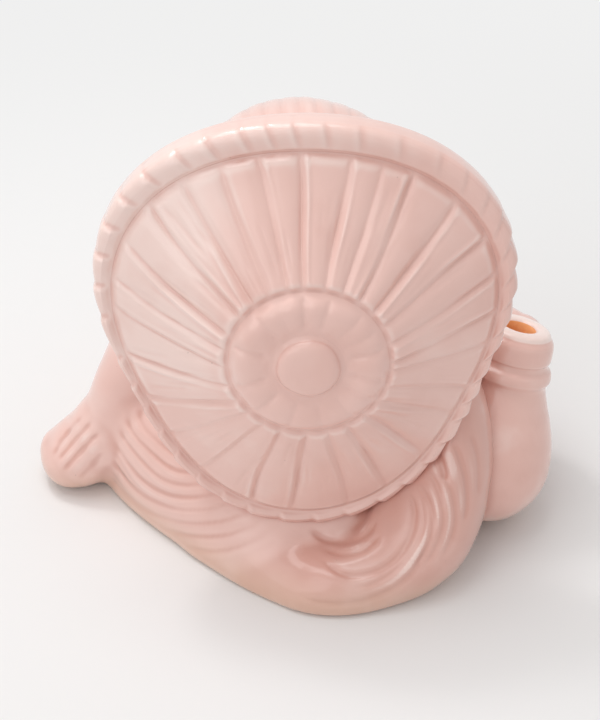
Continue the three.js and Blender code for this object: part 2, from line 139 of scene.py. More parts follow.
def smooth_run(values, share):
    """Values at shares from 0 to 1 along a smooth curve through evenly spaced stations."""
    values = np.asarray(values, float)
    ends = [[2 * values[0] - values[1]], values, [2 * values[-1] - values[-2]]]
    padded = np.concatenate(ends)
    place = np.clip(np.asarray(share, float), 0, 1) * (len(values) - 1)
    first = np.minimum(place.astype(int), len(values) - 2)
    part = (place - first).reshape((-1,) + (1,) * (values.ndim - 1))
    a, b, c, d = (padded[first + k] for k in range(4))
    bend = 2 * a - 5 * b + 4 * c - d
    twist = 3 * b - 3 * c + d - a
    return b + 0.5 * part * (c - a + part * (bend + part * twist))


def spine_of(stations, radii, count=40):
    """A limb's spine as evenly spaced points, with the radius at each."""
    fine = smooth_run(stations, np.linspace(0, 1, 400))
    steps = np.linalg.norm(np.diff(fine, axis=0), axis=1)
    length = np.concatenate([[0], np.cumsum(steps)])
    share = np.linspace(0, 1, count)
    points = [np.interp(share * length[-1], length, fine[:, k]) for k in range(3)]
    return np.column_stack(points), smooth_run(radii, share)


print("a run through 0, 1, 4:", smooth_run([0, 1, 4], [0.25, 0.75]).round(2))

# %% [markdown]
# ## The body
# The hollow casting is wide at the belly and flat at the back. Its sections are squarish ovals stacked
# from the foot to the neck, with one depth for the front and another for the back. All sizes in this
# lesson are millimetres in the frame of the solids, and become metres when a mesh is made.

# %% Body
BODY_HEIGHTS = [0, 9, 20, 34, 48, 61, 71, 77]
BODY_HALF_WIDTHS = [35, 38, 38.5, 38, 35, 30.5, 25, 15]
BODY_FRONTS = [37, 44, 48, 48, 43, 34, 25, 14]
BODY_BACKS = [37, 37, 28.5, 28.5, 29.5, 28, 22, 10]
BODY_SQUARENESS = 2.3
LEDGE = {"centre": (-6, 29, 9), "half": (24, 10, 13), "squareness": 2.3}
LEDGE_MELT = 5


def body_field(points):
    """The stacked ovals, closed at the neck, with a ledge of clay under the hat."""
    run = np.linspace(0, 1, 200)
    heights = smooth_run(BODY_HEIGHTS, run)
    width, front, back = (
        np.interp(points[:, 2], heights, smooth_run(values, run))
        for values in (BODY_HALF_WIDTHS, BODY_FRONTS, BODY_BACKS)
    )
    half = np.column_stack([width, np.where(points[:, 1] > 0, back, front)])
    share = np.abs(points[:, :2]) / half
    reach = np.maximum((share**BODY_SQUARENESS).sum(1), 1e-9) ** (1 / BODY_SQUARENESS)
    slope = ((share / reach[:, None]) ** (BODY_SQUARENESS - 1) / half) ** 2
    stack = np.maximum((reach - 1) / np.sqrt(slope.sum(1)), points[:, 2] - BODY_HEIGHTS[-1])
    return melt(stack, egg_field(points, **LEDGE), LEDGE_MELT)


print("body stations:", len(BODY_HEIGHTS))

# %% [markdown]
# ## Head and face
# Only the crown of the head shows over the hat, but an ornament is turned round in the hand. The face is
# the plain one of such figures: a round head, a short muzzle, a button nose, domed eyes and cupped ears.
# Each feature sits on the skin of what carries it, at so many degrees round from the front and up.

# %% Head and face
HEAD = {"centre": np.array([0, -5, 97.0]), "half": np.array([32, 29, 29.0])}


def on_skin(carrier, turn, rise, stand, side=1):
    """A place on an egg's skin, stood off it or sunk into it."""
    turn = math.radians(turn)
    rise = math.radians(rise)
    out = [side * math.sin(turn) * math.cos(rise), -math.cos(turn) * math.cos(rise), math.sin(rise)]
    return carrier["centre"] + np.array(out) * (carrier["half"] + stand)


MUZZLE = {"centre": on_skin(HEAD, 0, -14, 0), "half": np.array([14.5, 15, 11.5])}
NOSE = {"centre": on_skin(MUZZLE, 0, 20, 0.4), "half": np.array([4.8, 3.4, 3.8])}
EYE_HALF = np.array([4.4, 3.4, 4.8])
EAR_HALF = np.array([8.5, 4.5, 10.0])
EAR_LEAN = 35
EAR_CUP = {"shift": np.array([0, -4.2, 0.6]), "share": 0.78, "melt": 1.0}
EYE_SEAT = (22.7, 9)
EYE_SUNK = -0.5
EAR_SEAT = (87, 29, -4.4)


def eye_field(points, side):
    return egg_field(points, on_skin(HEAD, *EYE_SEAT, EYE_SUNK, side), EYE_HALF)


def ear_field(points, side):
    """An egg with a cup pressed into its front."""
    seat = on_skin(HEAD, *EAR_SEAT, side)
    outer = egg_field(points, seat, EAR_HALF, lean=side * EAR_LEAN)
    cup = egg_field(points, seat + EAR_CUP["shift"], EAR_HALF * EAR_CUP["share"], lean=side * EAR_LEAN)
    return -melt(-outer, cup, EAR_CUP["melt"])


print("muzzle at", MUZZLE["centre"].round(1), "nose at", NOSE["centre"].round(1))

# %% [markdown]
# ## Haunches, tail, arms and paws
# The left haunch is a big squarish egg that leans out under the hat. The tail is a fat limb that comes
# down beside the flask and lies round the back of the base. The left arm props the animal up on a broad
# paw, and the right one hugs the flask. A paw is a palm with three fingers pressed out of it.

# %% Haunches, tail, arms and paws
LEFT_HAUNCH = {
    "centre": (25.5, 2.5, 7), "half": (43.5, 26.3, 31), "turn": 135, "lean": 16, "squareness": 2.5,
}
RIGHT_HAUNCH = {"centre": (-25, -16, 7), "half": (31, 24, 30), "turn": 60, "squareness": 2.5}
TAIL_STATIONS = [
    (-34, 10, 58), (-39.5, 17, 44), (-38.8, 25.4, 28), (-33, 36.8, 13.4),
    (-19.5, 44, 5.4), (-5, 46.2, 2.5), (10, 41.5, 1), (23, 29.5, 0),
]
TAIL_RADII = [10, 13, 15.6, 15.6, 12.6, 10.9, 6.6, 3.5]
TAIL = spine_of(TAIL_STATIONS, TAIL_RADII, 110)
LEFT_ARM = spine_of([(31, -7.5, 63), (46, -5, 43.5), (54, -3.5, 27.5), (58, -2.8, 20)], [11, 11.5, 10, 9])
RIGHT_ARM = spine_of([(-29, -7, 64), (-46, -16, 53), (-54, -18, 46)], [11, 11, 8.8])
FOOT = [(21, -38, 9), (23.5, -45.5, 9), (26, -53, 9)]
FOOT_RADII = [10, 11, 10]
LEFT_PALM = (64.5, -0.5, 9)
LEFT_FINGERS = [
    ((60, -6, 19.5), (72.9, -7.5, 8.4)),
    ((61, -2.5, 18.5), (72.7, -3, 7.4)),
    ((60, 1, 16), (70.1, 1.5, 7.2)),
]
RIGHT_PALM = (-57, -15, 45)
RIGHT_FINGERS = [
    ((-59.7, -13.5, 46.4), (-65, -10, 49.2)),
    ((-60, -13.5, 44.7), (-66, -10, 44)),
    ((-59.5, -13.5, 43), (-64.5, -10, 38.8)),
]
PALM_HALF = (8.2, 8.2, 8.2)
FINGER_RADII = np.array([6.8, 5.6])
FINGER_MELT = 5


def foot_field(points, side):
    return limb_field(points, *spine_of([(side * x, y, z) for x, y, z in FOOT], FOOT_RADII, 6))


def paw_field(points, palm, fingers):
    """A palm and three fingers, with soft grooves between them."""
    field = egg_field(points, palm, PALM_HALF)
    for knuckle_and_tip in fingers:
        field = melt(field, limb_field(points, np.array(knuckle_and_tip), FINGER_RADII), FINGER_MELT)
    return field


print("tail length:", np.linalg.norm(np.diff(TAIL[0], axis=0), axis=1).sum().round(1), "mm")

# %% [markdown]
# ## Room for the hat and the flask
# The hat and the flask are pieces of their own, so the figure is cut back just inside their skins. The
# hat is an egg-shaped cone on a tilted plane: its rings are short series of waves, a mean radius plus a
# little height, oval and three-cornered swing. The flask is a turned profile on a leaning axis. Where the
# hat's edge stands clear of the tail, a cone of clay is shaved off round the rim, so that the gap is real.

# %% Hat and flask as rooms
HAT_CENTRE = np.array([-1.3, 30, 80])
HAT_TURN = np.array(Matrix.Rotation(math.radians(7), 3, "X"))
HAT_BACK = -6
RIM_BACK = -8.5
RIM_WAVES = (56.65, 2.49, -3.51, 3.95)
GROOVE_WAVES = (52, -0.4, -2.68, 3.37)
RIM_LEAST_BAND = 2.8
CROWN_RADIUS = 20.8
CROWN_HEIGHT = 15.2


def wave(waves, turn):
    mean, tall, oval, three = waves
    return mean + tall * np.sin(turn) + oval * np.cos(2 * turn) + three * np.sin(3 * turn)


def groove_radius(turn):
    return wave(GROOVE_WAVES, turn)


def rim_radius(turn):
    return np.maximum(wave(RIM_WAVES, turn), groove_radius(turn) + RIM_LEAST_BAND)


def hat_local(points):
    """Height over the hat's plane, radius and angle round it."""
    local = (points - HAT_CENTRE) @ HAT_TURN
    return local[:, 1], np.hypot(local[:, 0], local[:, 2]), np.arctan2(local[:, 2], local[:, 0])


def hat_field(points):
    height, radius, turn = hat_local(points)
    slope = (groove_radius(turn) - radius) / (groove_radius(turn) - CROWN_RADIUS)
    front = CROWN_HEIGHT * np.clip(slope, 0, 1)
    return np.maximum(height - front, np.maximum(radius - rim_radius(turn), RIM_BACK - height))


SHAVE_FROM = (183, 207)
SHAVE_TO = (245, 275)
SHAVE_SLOPE = 1.6
SHAVE_STEEPNESS = 1.9
SHAVE_GAP = 1.4
SHAVE_DROP = 1.2
SHAVE_KEEP = 8
SHAVE_LOW = -3


def free_rim(points):
    """The clay to shave off round the rim, from some degrees round the hat to others."""
    height, radius, turn = hat_local(points)
    degrees = np.degrees(turn) % 360
    share = between(degrees, *SHAVE_FROM) * (1 - between(degrees, *SHAVE_TO))
    cone = (SHAVE_SLOPE * (radius - rim_radius(turn) - SHAVE_GAP) - SHAVE_DROP - height) / SHAVE_STEEPNESS
    return np.maximum(cone + SHAVE_KEEP * (1 - share), SHAVE_LOW - height)


FLASK_CENTRE = np.array([-54.3, 9.5, 22.3])
FLASK_AXIS = np.array([-0.214, -0.25, 0.944])
FLASK_AXIS = FLASK_AXIS / np.linalg.norm(FLASK_AXIS)
FLASK_PROFILE = np.array([
    (-20, 8), (-18, 12.6), (-14.5, 16), (-9, 18.8), (-3, 19.7), (4, 18.8), (11, 16.6), (17, 14),
    (21.5, 12.2), (23.5, 11.9), (25.2, 12.6), (27.3, 12.2), (28.6, 11), (30, 10.7), (31.2, 11.2),
    (35.4, 10.8), (37.4, 9.6),
])
FLASK_LIP = 38.5


def flask_field(points):
    out = points - FLASK_CENTRE
    height = out @ FLASK_AXIS
    radius = np.linalg.norm(out - np.outer(height, FLASK_AXIS), axis=1)
    wall = radius - np.interp(height, FLASK_PROFILE[:, 0], FLASK_PROFILE[:, 1])
    return np.maximum(wall, np.maximum(FLASK_PROFILE[0, 0] - height, height - FLASK_LIP))


print("hat rim from", rim_radius(np.linspace(0, 6.28, 90)).min().round(1), "mm radius up")

# %% [markdown]
# ## One melted figure
# Now the pieces are joined one by one, each with its own softness: wide where a limb grows out of the
# body, narrow round an eye. The tail's roll stands clear of the rump, but its tip runs into it. The table,
# the hat, the flask and the drain hole are then cut away.

# %% The figure's field
SHAPES = {
    "body": body_field,
    "left_haunch": lambda points: egg_field(points, **LEFT_HAUNCH),
    "right_haunch": lambda points: egg_field(points, **RIGHT_HAUNCH),
    "left_foot": lambda points: foot_field(points, 1),
    "right_foot": lambda points: foot_field(points, -1),
    "tail": lambda points: limb_field(points, *TAIL),
    "left_arm": lambda points: limb_field(points, *LEFT_ARM),
    "left_paw": lambda points: paw_field(points, LEFT_PALM, LEFT_FINGERS),
    "right_arm": lambda points: limb_field(points, *RIGHT_ARM),
    "right_paw": lambda points: paw_field(points, RIGHT_PALM, RIGHT_FINGERS),
    "head": lambda points: egg_field(points, **HEAD),
    "muzzle": lambda points: egg_field(points, **MUZZLE),
    "nose": lambda points: egg_field(points, **NOSE),
    "left_eye": lambda points: eye_field(points, 1),
    "right_eye": lambda points: eye_field(points, -1),
    "left_ear": lambda points: ear_field(points, 1),
    "right_ear": lambda points: ear_field(points, -1),
}
TAIL_MELT = {"x": [-14, 8], "width": [3, 13]}
MELTS = {
    "left_haunch": 7, "right_haunch": 7, "left_foot": 3, "right_foot": 3, "tail": TAIL_MELT,
    "left_arm": 4, "left_paw": 4, "right_arm": 5, "right_paw": 2, "head": 5, "muzzle": 5,
    "nose": 1, "left_eye": 1, "right_eye": 1, "left_ear": 2, "right_ear": 2,
}
DRAIN_RADIUS = 7
DRAIN_Y = 15
DRAIN_DEPTH = 14
TUCK = 1.0
EDGE_MELT = 0.8
SHAVE_MELT = 3
FOOT_MELT = 2.4


def drain_field(points):
    across = np.hypot(points[:, 0], points[:, 1] - DRAIN_Y) - DRAIN_RADIUS
    return np.maximum(across, points[:, 2] - DRAIN_DEPTH)


def figure_field(points):
    """The melted figure, and each piece's own field."""
    own = {name: shape(points) for name, shape in SHAPES.items()}
    fused = own["body"]
    for name, width in MELTS.items():
        if name == "tail":
            width = np.interp(points[:, 0], width["x"], width["width"])
        fused = melt(fused, own[name], width)
    fused = -melt(-fused, free_rim(points), SHAVE_MELT)
    for cut in (hat_field(points) + TUCK, flask_field(points) + TUCK, drain_field(points)):
        fused = -melt(-fused, cut, EDGE_MELT)
    return -melt(-fused, points[:, 2], FOOT_MELT), own


print("pieces in the figure:", len(SHAPES))

# %% [markdown]
# ## From field to mesh
# Marching cubes would do, but its slivers show in a glossy glaze. Surface nets put one point in each small
# cube that the skin crosses and one quad across each edge that it crosses, which gives an even net of
# quads. The field is first sampled in coarse blocks, and finely only in the blocks near the skin.

# %% Surface nets
FINE_STEP = 0.62
STEP = FINE_STEP
NET_MARGIN = 6
BLOCK = 4
BLOCK_NEAR = 4.5
CORNERS = [(i, j, k) for i in (0, 1) for j in (0, 1) for k in (0, 1)]


def sampled(low, high, step):
    """The figure's field on a fine grid, true near the skin and rough elsewhere."""
    blocks = np.ceil((high - low) / (step * BLOCK)).astype(int)
    middles = np.argwhere(np.ones(blocks, bool)) + 0.5
    rough = figure_field(low + middles * step * BLOCK)[0].reshape(blocks)
    spread = rough
    for axis in range(3):
        spread = np.repeat(spread, BLOCK, axis=axis)
    fine = np.pad(spread, ((0, 1),) * 3, mode="edge")
    close = np.abs(spread) < BLOCK_NEAR
    near = np.zeros(fine.shape, bool)
    size = close.shape
    for i, j, k in CORNERS:
        near[i : size[0] + i, j : size[1] + j, k : size[2] + k] |= close
    fine[near] = figure_field(low + np.argwhere(near) * step)[0]
    return fine


def surface_nets(field, low, step):
    """Points and quads of the skin where the field is zero."""
    inside = field < 0
    size = np.array(field.shape) - 1
    count = sum(
        inside[i : size[0] + i, j : size[1] + j, k : size[2] + k].astype(np.int8) for i, j, k in CORNERS
    )
    cells = np.argwhere((count > 0) & (count < 8))
    number = np.full(tuple(size), -1)
    number[tuple(cells.T)] = np.arange(len(cells))
    total = np.zeros((len(cells), 3))
    hits = np.zeros(len(cells))
    quads = []
    for axis in range(3):
        unit = np.eye(3, dtype=int)[axis]
        for corner in [np.array(c) for c in CORNERS if c[axis] == 0]:
            start = cells + corner
            first = field[tuple(start.T)]
            last = field[tuple((start + unit).T)]
            crossed = (first < 0) != (last < 0)
            share = np.divide(first, first - last, out=np.zeros(len(first)), where=crossed)
            total += np.where(crossed[:, None], start + share[:, None] * unit, 0)
            hits += crossed
        lower = inside.take(range(size[axis]), axis)
        upper = inside.take(range(1, size[axis] + 1), axis)
        edges = np.argwhere(lower != upper)
        side, other = np.roll(np.eye(3, dtype=int), -axis - 1, axis=0)[:2]
        edges = edges[np.all(edges * (side + other) < size, axis=1)]
        edges = edges[np.all((edges + unit) * (side + other) >= side + other, axis=1)]
        around = [edges, edges - side, edges - side - other, edges - other]
        quad = np.column_stack([number[tuple(cell.T)] for cell in around])
        falls = lower[tuple(edges.T)]
        quads.append(np.where(falls[:, None], quad, quad[:, ::-1]))
    return low + step * total / hits[:, None], np.concatenate(quads)


net_low = np.array(cad_box[0]) / MM - NET_MARGIN
net_high = np.array(cad_box[1]) / MM + NET_MARGIN
points, quads = surface_nets(sampled(net_low, net_high, STEP), net_low, STEP)
print("net:", len(points), "points,", len(quads), "quads")

# %% [markdown]
# ## Settle the net on the skin
# Each point is drawn to the middle of its neighbours, which evens out the net, and is then moved along the
# field's slope until it lies on the skin itself. That takes out the last of the grid's steps. Last, the
# joint where the tail's tip runs into the rump is rubbed smooth, as a thumb would do it.

# %% Settle
SLOPE_STEP = 0.05
LEAST_STEEPNESS = 0.8
THUMB = {"centre": (4, 40, 12), "half": (22, 18, 20)}
THUMB_FADE = 7
THUMB_ROUNDS = 60


def slope_of(points):
    """The field at some points, and which way it grows there."""
    middle = figure_field(points)[0]
    steps = [figure_field(points + SLOPE_STEP * unit)[0] - middle for unit in np.eye(3)]
    return middle, np.column_stack(steps) / SLOPE_STEP


def neighbour_mean(values, quads):
    """Each point's value averaged over the points that it shares an edge with."""
    starts = quads.ravel()
    ends = np.roll(quads, -1, axis=1).ravel()
    both = np.concatenate([starts, ends])
    other = np.concatenate([ends, starts])
    count = np.bincount(both, minlength=len(values))
    means = [np.bincount(both, values[other, k], len(values)) / count for k in range(values.shape[1])]
    return np.column_stack(means)


for _ in range(2):
    points = neighbour_mean(points, quads)
    height, slope = slope_of(points)
    steepness = np.maximum((slope * slope).sum(1), LEAST_STEEPNESS)
    points = points - np.clip(height / steepness, -STEP, STEP)[:, None] * slope
thumb = between(-egg_field(points, **THUMB), 0, THUMB_FADE) * between(points[:, 2], 0.5, 3)
for _ in range(int(THUMB_ROUNDS * (FINE_STEP / STEP) ** 2)):
    points = points + thumb[:, None] * (neighbour_mean(points, quads) - points)
own_fields = figure_field(points)[1]
own_names = list(own_fields)
own_table = np.column_stack([own_fields[name] for name in own_names])
print("furthest point from the skin was", np.abs(height).max().round(2), "mm")

# %% [markdown]
# ## Which way is out
# A vertex normal is the average of the faces round it. The whole figure shares one set of them, also after
# it is split into pieces, so the light runs over the joints as it does over one glazed skin.

# %% Vertex normals


def vertex_normals(points, quads):
    across = np.cross(points[quads[:, 2]] - points[quads[:, 0]], points[quads[:, 3]] - points[quads[:, 1]])
    total = np.zeros_like(points)
    for axis in range(3):
        for corner in range(4):
            total[:, axis] += np.bincount(quads[:, corner], across[:, axis], len(points))
    return total / np.maximum(np.linalg.norm(total, axis=1), 1e-12)[:, None]


normals = vertex_normals(points, quads)
print("normals:", len(normals))

# %% [markdown]
# ## Carving
# The clay was combed with a tool before it was glazed: nested arcs of fur on the haunch, long strands down
# the tail, a few hairs over the head. Each is a wave that runs across the strokes, with a narrow groove at
# every whole number of it. The point is moved into the clay by the groove's depth, so the carving is real
# and not only a bump in the material. These helpers say how deep a groove is and where a piece ends.

# %% Grooves
rng = np.random.default_rng(7)


def groove(phase, width):
    """1 in the bottom of a groove, at each whole number of the phase, and 0 a width or two beside it."""
    off = phase - np.round(phase)
    return np.exp(-((off / width) ** 2))


def deep_in(name, width):
    """1 well inside a piece's own skin, and 0 where it meets its neighbours."""
    column = own_names.index(name)
    rest = np.delete(own_table, column, axis=1).min(1)
    return between(rest - own_table[:, column], 0, width)


VIEW_RISE = math.radians(CAMERA_RISE)
VIEW_OUT = np.array([0, math.cos(VIEW_RISE), math.sin(VIEW_RISE)])
VIEW_UP = np.array([0, -math.sin(VIEW_RISE), math.cos(VIEW_RISE)])
print("the carver looks along", -VIEW_OUT.round(2))

# %% [markdown]
# ## Fur on the haunch
# The arcs are struck about one point under the hat, as a compass would, and then made less regular: the
# spacing drifts, the depth ebbs, and a finer stroke runs between two others. Drawing each arc by hand
# would work too, but a rule with a little drift in it gives even fur in a few lines.

# %% Fur on the haunch
FUR_CENTRE = np.array([32.4, 16, 45.1])
FUR_SPACING = 3.9
FUR_DEPTH = 0.42


def haunch_fur(points):
    """Arcs struck about a point under the hat, fading towards the rump."""
    left = points[:, 0] - FUR_CENTRE[0]
    down = -(points - FUR_CENTRE) @ VIEW_UP
    radius = np.hypot(left, down)
    turn = np.arctan2(down, left)
    drift = 0.25 * np.sin(2.2 * turn + 0.6) + 0.12 * np.sin(5 * turn + radius / 6)
    phase = radius / FUR_SPACING + drift
    ebb = 0.7 + 0.3 * np.sin(3.1 * turn + radius / 2.7) * np.sin(1.7 * turn - radius / 4 + 1)
    between_strokes = groove(phase + 0.4 + 0.15 * np.sin(4 * turn + radius / 5), 0.13)
    strokes = 0.7 * groove(phase, 0.15) + 0.5 * groove(phase, 0.36) + 0.4 * between_strokes
    fade = between(turn, -0.5, 0) * (1 - between(turn, 1.5, 2.3))
    low = between(points[:, 2], 1, 7)
    return FUR_DEPTH * strokes * ebb * fade * low * between(radius, 8, 14) * deep_in("left_haunch", 4)


print("fur arcs every", FUR_SPACING, "mm")

# %% [markdown]
# ## Strands drawn one by one
# The strands on the tail, on the ledge under the hat and on the paw follow no rule, so each is drawn: a
# depth, a width, and a few places across and up, at one distance from front to back. The line is pressed
# straight into the clay from where we look, and it tapers at both ends as a tool does when it is lifted.

# %% Strands
LINE_POINTS = 30
LINE_TAPER = 7


def drawn_lines(points, y, lines):
    """Cuts along lines drawn on the clay from where we look, as places across and up at one depth y."""
    flat = points - np.outer(points @ VIEW_OUT, VIEW_OUT)
    facing = between(normals @ VIEW_OUT, 0, 0.25)
    ends = np.abs(np.linspace(-1, 1, LINE_POINTS)) ** LINE_TAPER
    total = np.zeros(len(points))
    for depth, width, stations in lines:
        spine = spine_of([(x, y, z) for x, z in stations], [0] * len(stations), LINE_POINTS)[0]
        gap = limb_field(flat, spine - np.outer(spine @ VIEW_OUT, VIEW_OUT), -4 * width * ends) / width
        total += depth * (0.65 * np.exp(-(gap**2)) + 0.35 * np.exp(-((gap / 2.2) ** 2)))
    return total * facing


TAIL_Y = 46
TAIL_DEPTH = 0.95
TAIL_LINES = [
    (1.0, 1.1, [(-31.9, 40.6), (-34.9, 34.5), (-36.4, 27.7), (-36, 20.7), (-33.7, 13.7), (-30.5, 7.8)]),
    (0.6, 0.9, [
        (-36, 21.4), (-34, 14), (-31, 8), (-26.5, 2.7), (-19, -1.6), (-11.4, -3.3), (-4.3, -2.5),
        (1.4, 0.4),
    ]),
    (1.0, 1.1, [
        (-29, 38.8), (-31.1, 33.3), (-31.5, 28.3), (-30.6, 22.6), (-28.6, 16.9), (-25.4, 12),
        (-20.6, 8.4), (-14.1, 7.1), (-8.9, 9.5), (-4.7, 14),
    ]),
    (0.6, 0.8, [
        (-31.5, 38.8), (-33.4, 32.7), (-33.8, 25.6), (-32, 18.2), (-28.9, 12.4), (-24.4, 7.1),
        (-18.9, 3.8), (-12.3, 2.5),
    ]),
    (1.4, 1.2, [(-36.5, 51.9), (-38.6, 46.6), (-40, 40.6)]),
    (0.6, 0.9, [(-39.2, 43.6), (-42, 35.7), (-43, 27.1), (-41.8, 19.2), (-38.5, 11.7)]),
    (0.8, 1.0, [(-41.2, 56), (-44.3, 47.8), (-46.2, 39.4), (-46.4, 31.4), (-45, 23.9)]),
    (0.5, 1.0, [(-46.7, 58.3), (-49.1, 50.2), (-49.9, 41.8), (-49.6, 33.3)]),
    (0.8, 0.9, [(-34.4, 46), (-37.7, 38.2), (-39.4, 29.6), (-38.9, 21.4), (-36.5, 14), (-32.8, 8)]),
]
LEDGE_Y = 42
LEDGE_LINES = [
    (0.7, 1.0, [(-2.2, 19.8), (-6.5, 16), (-12.6, 15.2), (-18.2, 17.9), (-21.9, 24)]),
    (0.55, 0.9, [(-5.1, 13.3), (-11.3, 11.3), (-17.5, 12.9), (-22.6, 18.7)]),
]
PAW_Y = 4
PAW_LINES = [
    (0.3, 0.9, [(63.9, 29.5), (69.1, 23.8), (73.8, 17.5)]),
    (0.4, 0.9, [(67.9, 24.6), (71.2, 19.5), (74.2, 13.6)]),
    (0.55, 0.9, [(60.8, 27.6), (67.1, 19.9), (72.9, 11.2)]),
    (0.55, 0.9, [(58.5, 23.8), (64.3, 16.7), (71.4, 7.2)]),
    (0.45, 1.0, [(57.8, 16), (61.5, 10.4), (66.5, 4.4)]),
]
print("strands:", len(TAIL_LINES) + len(LEDGE_LINES) + len(PAW_LINES))

# %% [markdown]
# ## Hair, toes and an uneven hand
# A few hairs are combed back over the head, and two cuts over the front of each foot part its three toes.
# A skin that was smoothed by hand also swells and sinks by a tenth of a millimetre. A handful of long
# waves in random directions gives that, and the random numbers are seeded, so each run gives the same.

# %% Hair, toes and unevenness
HAIR_SPACING = 4.7
HAIR_DEPTH = 0.22


def head_hair(points):
    """Hairs combed back over the crown of the head."""
    phase = points[:, 0] / HAIR_SPACING + 0.12 + 0.25 * np.sin(points[:, 1] / 9)
    fade = between(points[:, 1], -26, -16) * between(points[:, 2], 92, 104)
    return HAIR_DEPTH * groove(phase, 0.16) * fade * deep_in("head", 4)


TOE_SPACING = 6.4
TOE_DEPTH = 0.7
TOE_CUT = 0.16


def toes(points):
    """Two cuts over the front of each foot, between its three toes."""
    off = np.abs(np.abs(points[:, 0]) - FOOT[-1][0]) / TOE_SPACING - 0.5
    front = (1 - between(points[:, 1], -60, -53)) * between(points[:, 2], 1, 5)
    on_foot = deep_in("left_foot", 3) + deep_in("right_foot", 3)
    return TOE_DEPTH * np.exp(-((off / TOE_CUT) ** 2)) * front * on_foot


UNEVEN_WAVES = 9
UNEVEN_HEIGHT = 0.09


def unevenness(points):
    """The slow swell of a surface that was smoothed by hand."""
    swell = np.zeros(len(points))
    for _ in range(UNEVEN_WAVES):
        way = rng.normal(size=3)
        length = rng.uniform(9, 26)
        swell += np.sin(points @ way / np.linalg.norm(way) * 2 * math.pi / length + rng.uniform(0, 6))
    return UNEVEN_HEIGHT * swell / math.sqrt(UNEVEN_WAVES / 2)


print("hairs every", HAIR_SPACING, "mm, toes every", TOE_SPACING, "mm")

# %% [markdown]
# ## Press the carving in
# All the depths are added up, and each point is moved along its normal: out by the swell of the hand, in
# by the carving. The foot stays flat, so that the figure stands still on the table.

# %% Carve
depth = haunch_fur(points) + head_hair(points) + toes(points)
lines = TAIL_DEPTH * drawn_lines(points, TAIL_Y, TAIL_LINES)
lines += drawn_lines(points, LEDGE_Y, LEDGE_LINES) + drawn_lines(points, PAW_Y, PAW_LINES)
depth += lines * (1 - deep_in("left_haunch", 4))
swell = unevenness(points) * between(points[:, 2], 0.5, 4)
points = points + (swell - depth)[:, None] * normals
points[:, 2] = np.maximum(points[:, 2], 0)
normals = vertex_normals(points, quads)
print("deepest groove:", depth.max().round(2), "mm")

# %% [markdown]
# ## Where the glaze pools, and where light and shade are painted
# Molten glaze runs off ridges and gathers in hollows, where it fires to a deeper pink. How hollow a point
# is can be measured: smooth the skin a little, and see whether the point lies below or above the smooth
# one, more so than its surroundings do. Painted shade darkens a recess between two pieces, found by
# stepping out from the skin and asking how much room there is, and it darkens the tail and the clay under
# the hat's rim. Painted light pales the top of the head, and on the whole figure the colour is deeper lower
# down.

# %% Pooling, painted shade and painted light
POOL_FULL = 0.16
BROAD_ROUNDS = 40


def pooling(points, quads, normals, rounds):
    """1 where the glaze lies deepest, 0 on plain skin and -1 on a sharp ridge."""
    smooth = points
    for _ in range(rounds):
        smooth = neighbour_mean(smooth, quads)
    lift = ((smooth - points) * normals).sum(1)[:, None]
    lift = neighbour_mean(neighbour_mean(lift, quads), quads)
    broad = lift
    for _ in range(BROAD_ROUNDS):
        broad = neighbour_mean(broad, quads)
    return np.clip((lift - broad)[:, 0] / POOL_FULL, -1, 1)


def room_field(points):
    """How far a point is from the nearest glazed skin of any kind."""
    return np.minimum(figure_field(points)[0], np.minimum(hat_field(points), flask_field(points)))


SHADE_REACHES = (3, 7, 14)
SHADE_GAIN = 1.1
SHADE_OPEN = 0.12


def painted_shade(points, normals):
    """Painted shade: 0 in the open, and up to 1 deep in a recess between pieces."""
    shares = [1 - room_field(points + reach * normals) / reach for reach in SHADE_REACHES]
    return np.clip(np.clip(shares, 0, 1).mean(0) * SHADE_GAIN - SHADE_OPEN, 0, 1)


LIT_TOP = (123, 134)
LIT_TOP_SHARE = 0.6
LIT_LEFT = (6, 32)
LIT_LEFT_UP = (52, 78)


def painted_light(points):
    """Painted light: 1 over the top of the head and the rim, which face the light above, and down the hat's
    left.
    """
    top = LIT_TOP_SHARE * between(points[:, 2], *LIT_TOP)
    left = between(points[:, 0], *LIT_LEFT) * between(points[:, 2], *LIT_LEFT_UP)
    return np.maximum(top, left)


PAINTED_LIGHT_SHARE = 0.8
DEEPER_BELOW = 0.25
# Painted shade laid over the whole tail.
TAIL_PAINTED_SHADE = 0.65
RIM_PAINTED_SHADE = 0.3
POOL_ROUNDS = 12
on_tail = deep_in("tail", 6)
figure_pool_light_shade = pooling(points, quads, normals, POOL_ROUNDS)
# Painted light: paler over the top of the head.
figure_pool_light_shade -= PAINTED_LIGHT_SHARE * painted_light(points) * deep_in("head", 3)
# The colour is deeper lower down on the figure.
figure_pool_light_shade += DEEPER_BELOW * (1 - between(points[:, 2], 40, 75))
# Painted shade on the clay under the hat's rim, most of all on the tail.
shade_under_rim = (1 - between(hat_field(points), 1, 13)) * (1 - between(points[:, 2], 35, 60))
shade_under_rim *= (0.15 + 0.85 * on_tail) * (1 - 0.7 * deep_in("left_haunch", 4))
figure_pool_light_shade += RIM_PAINTED_SHADE * shade_under_rim
# Painted shade: darker in recesses between pieces, and over the whole tail.
figure_painted_shade = np.clip(painted_shade(points, normals) + TAIL_PAINTED_SHADE * on_tail, 0, 1)
print("mean pooling:", figure_pool_light_shade.mean().round(3), "mean shelter:", figure_painted_shade.mean().round(3))

# %% [markdown]
# ## A piece as a Blender object
# A helper turns points and faces into a mesh object, gives it smooth shading, keeps the pooling and the
# painted light and shade as named attributes for the material to read, rides it on the figure's body and
# names the solid that it stands for.

# %% Make a piece
MATERIALS = {
    name: bpy.data.materials.new(name) for name in ("pink_glaze", "flask_glaze", "bare_clay")
}


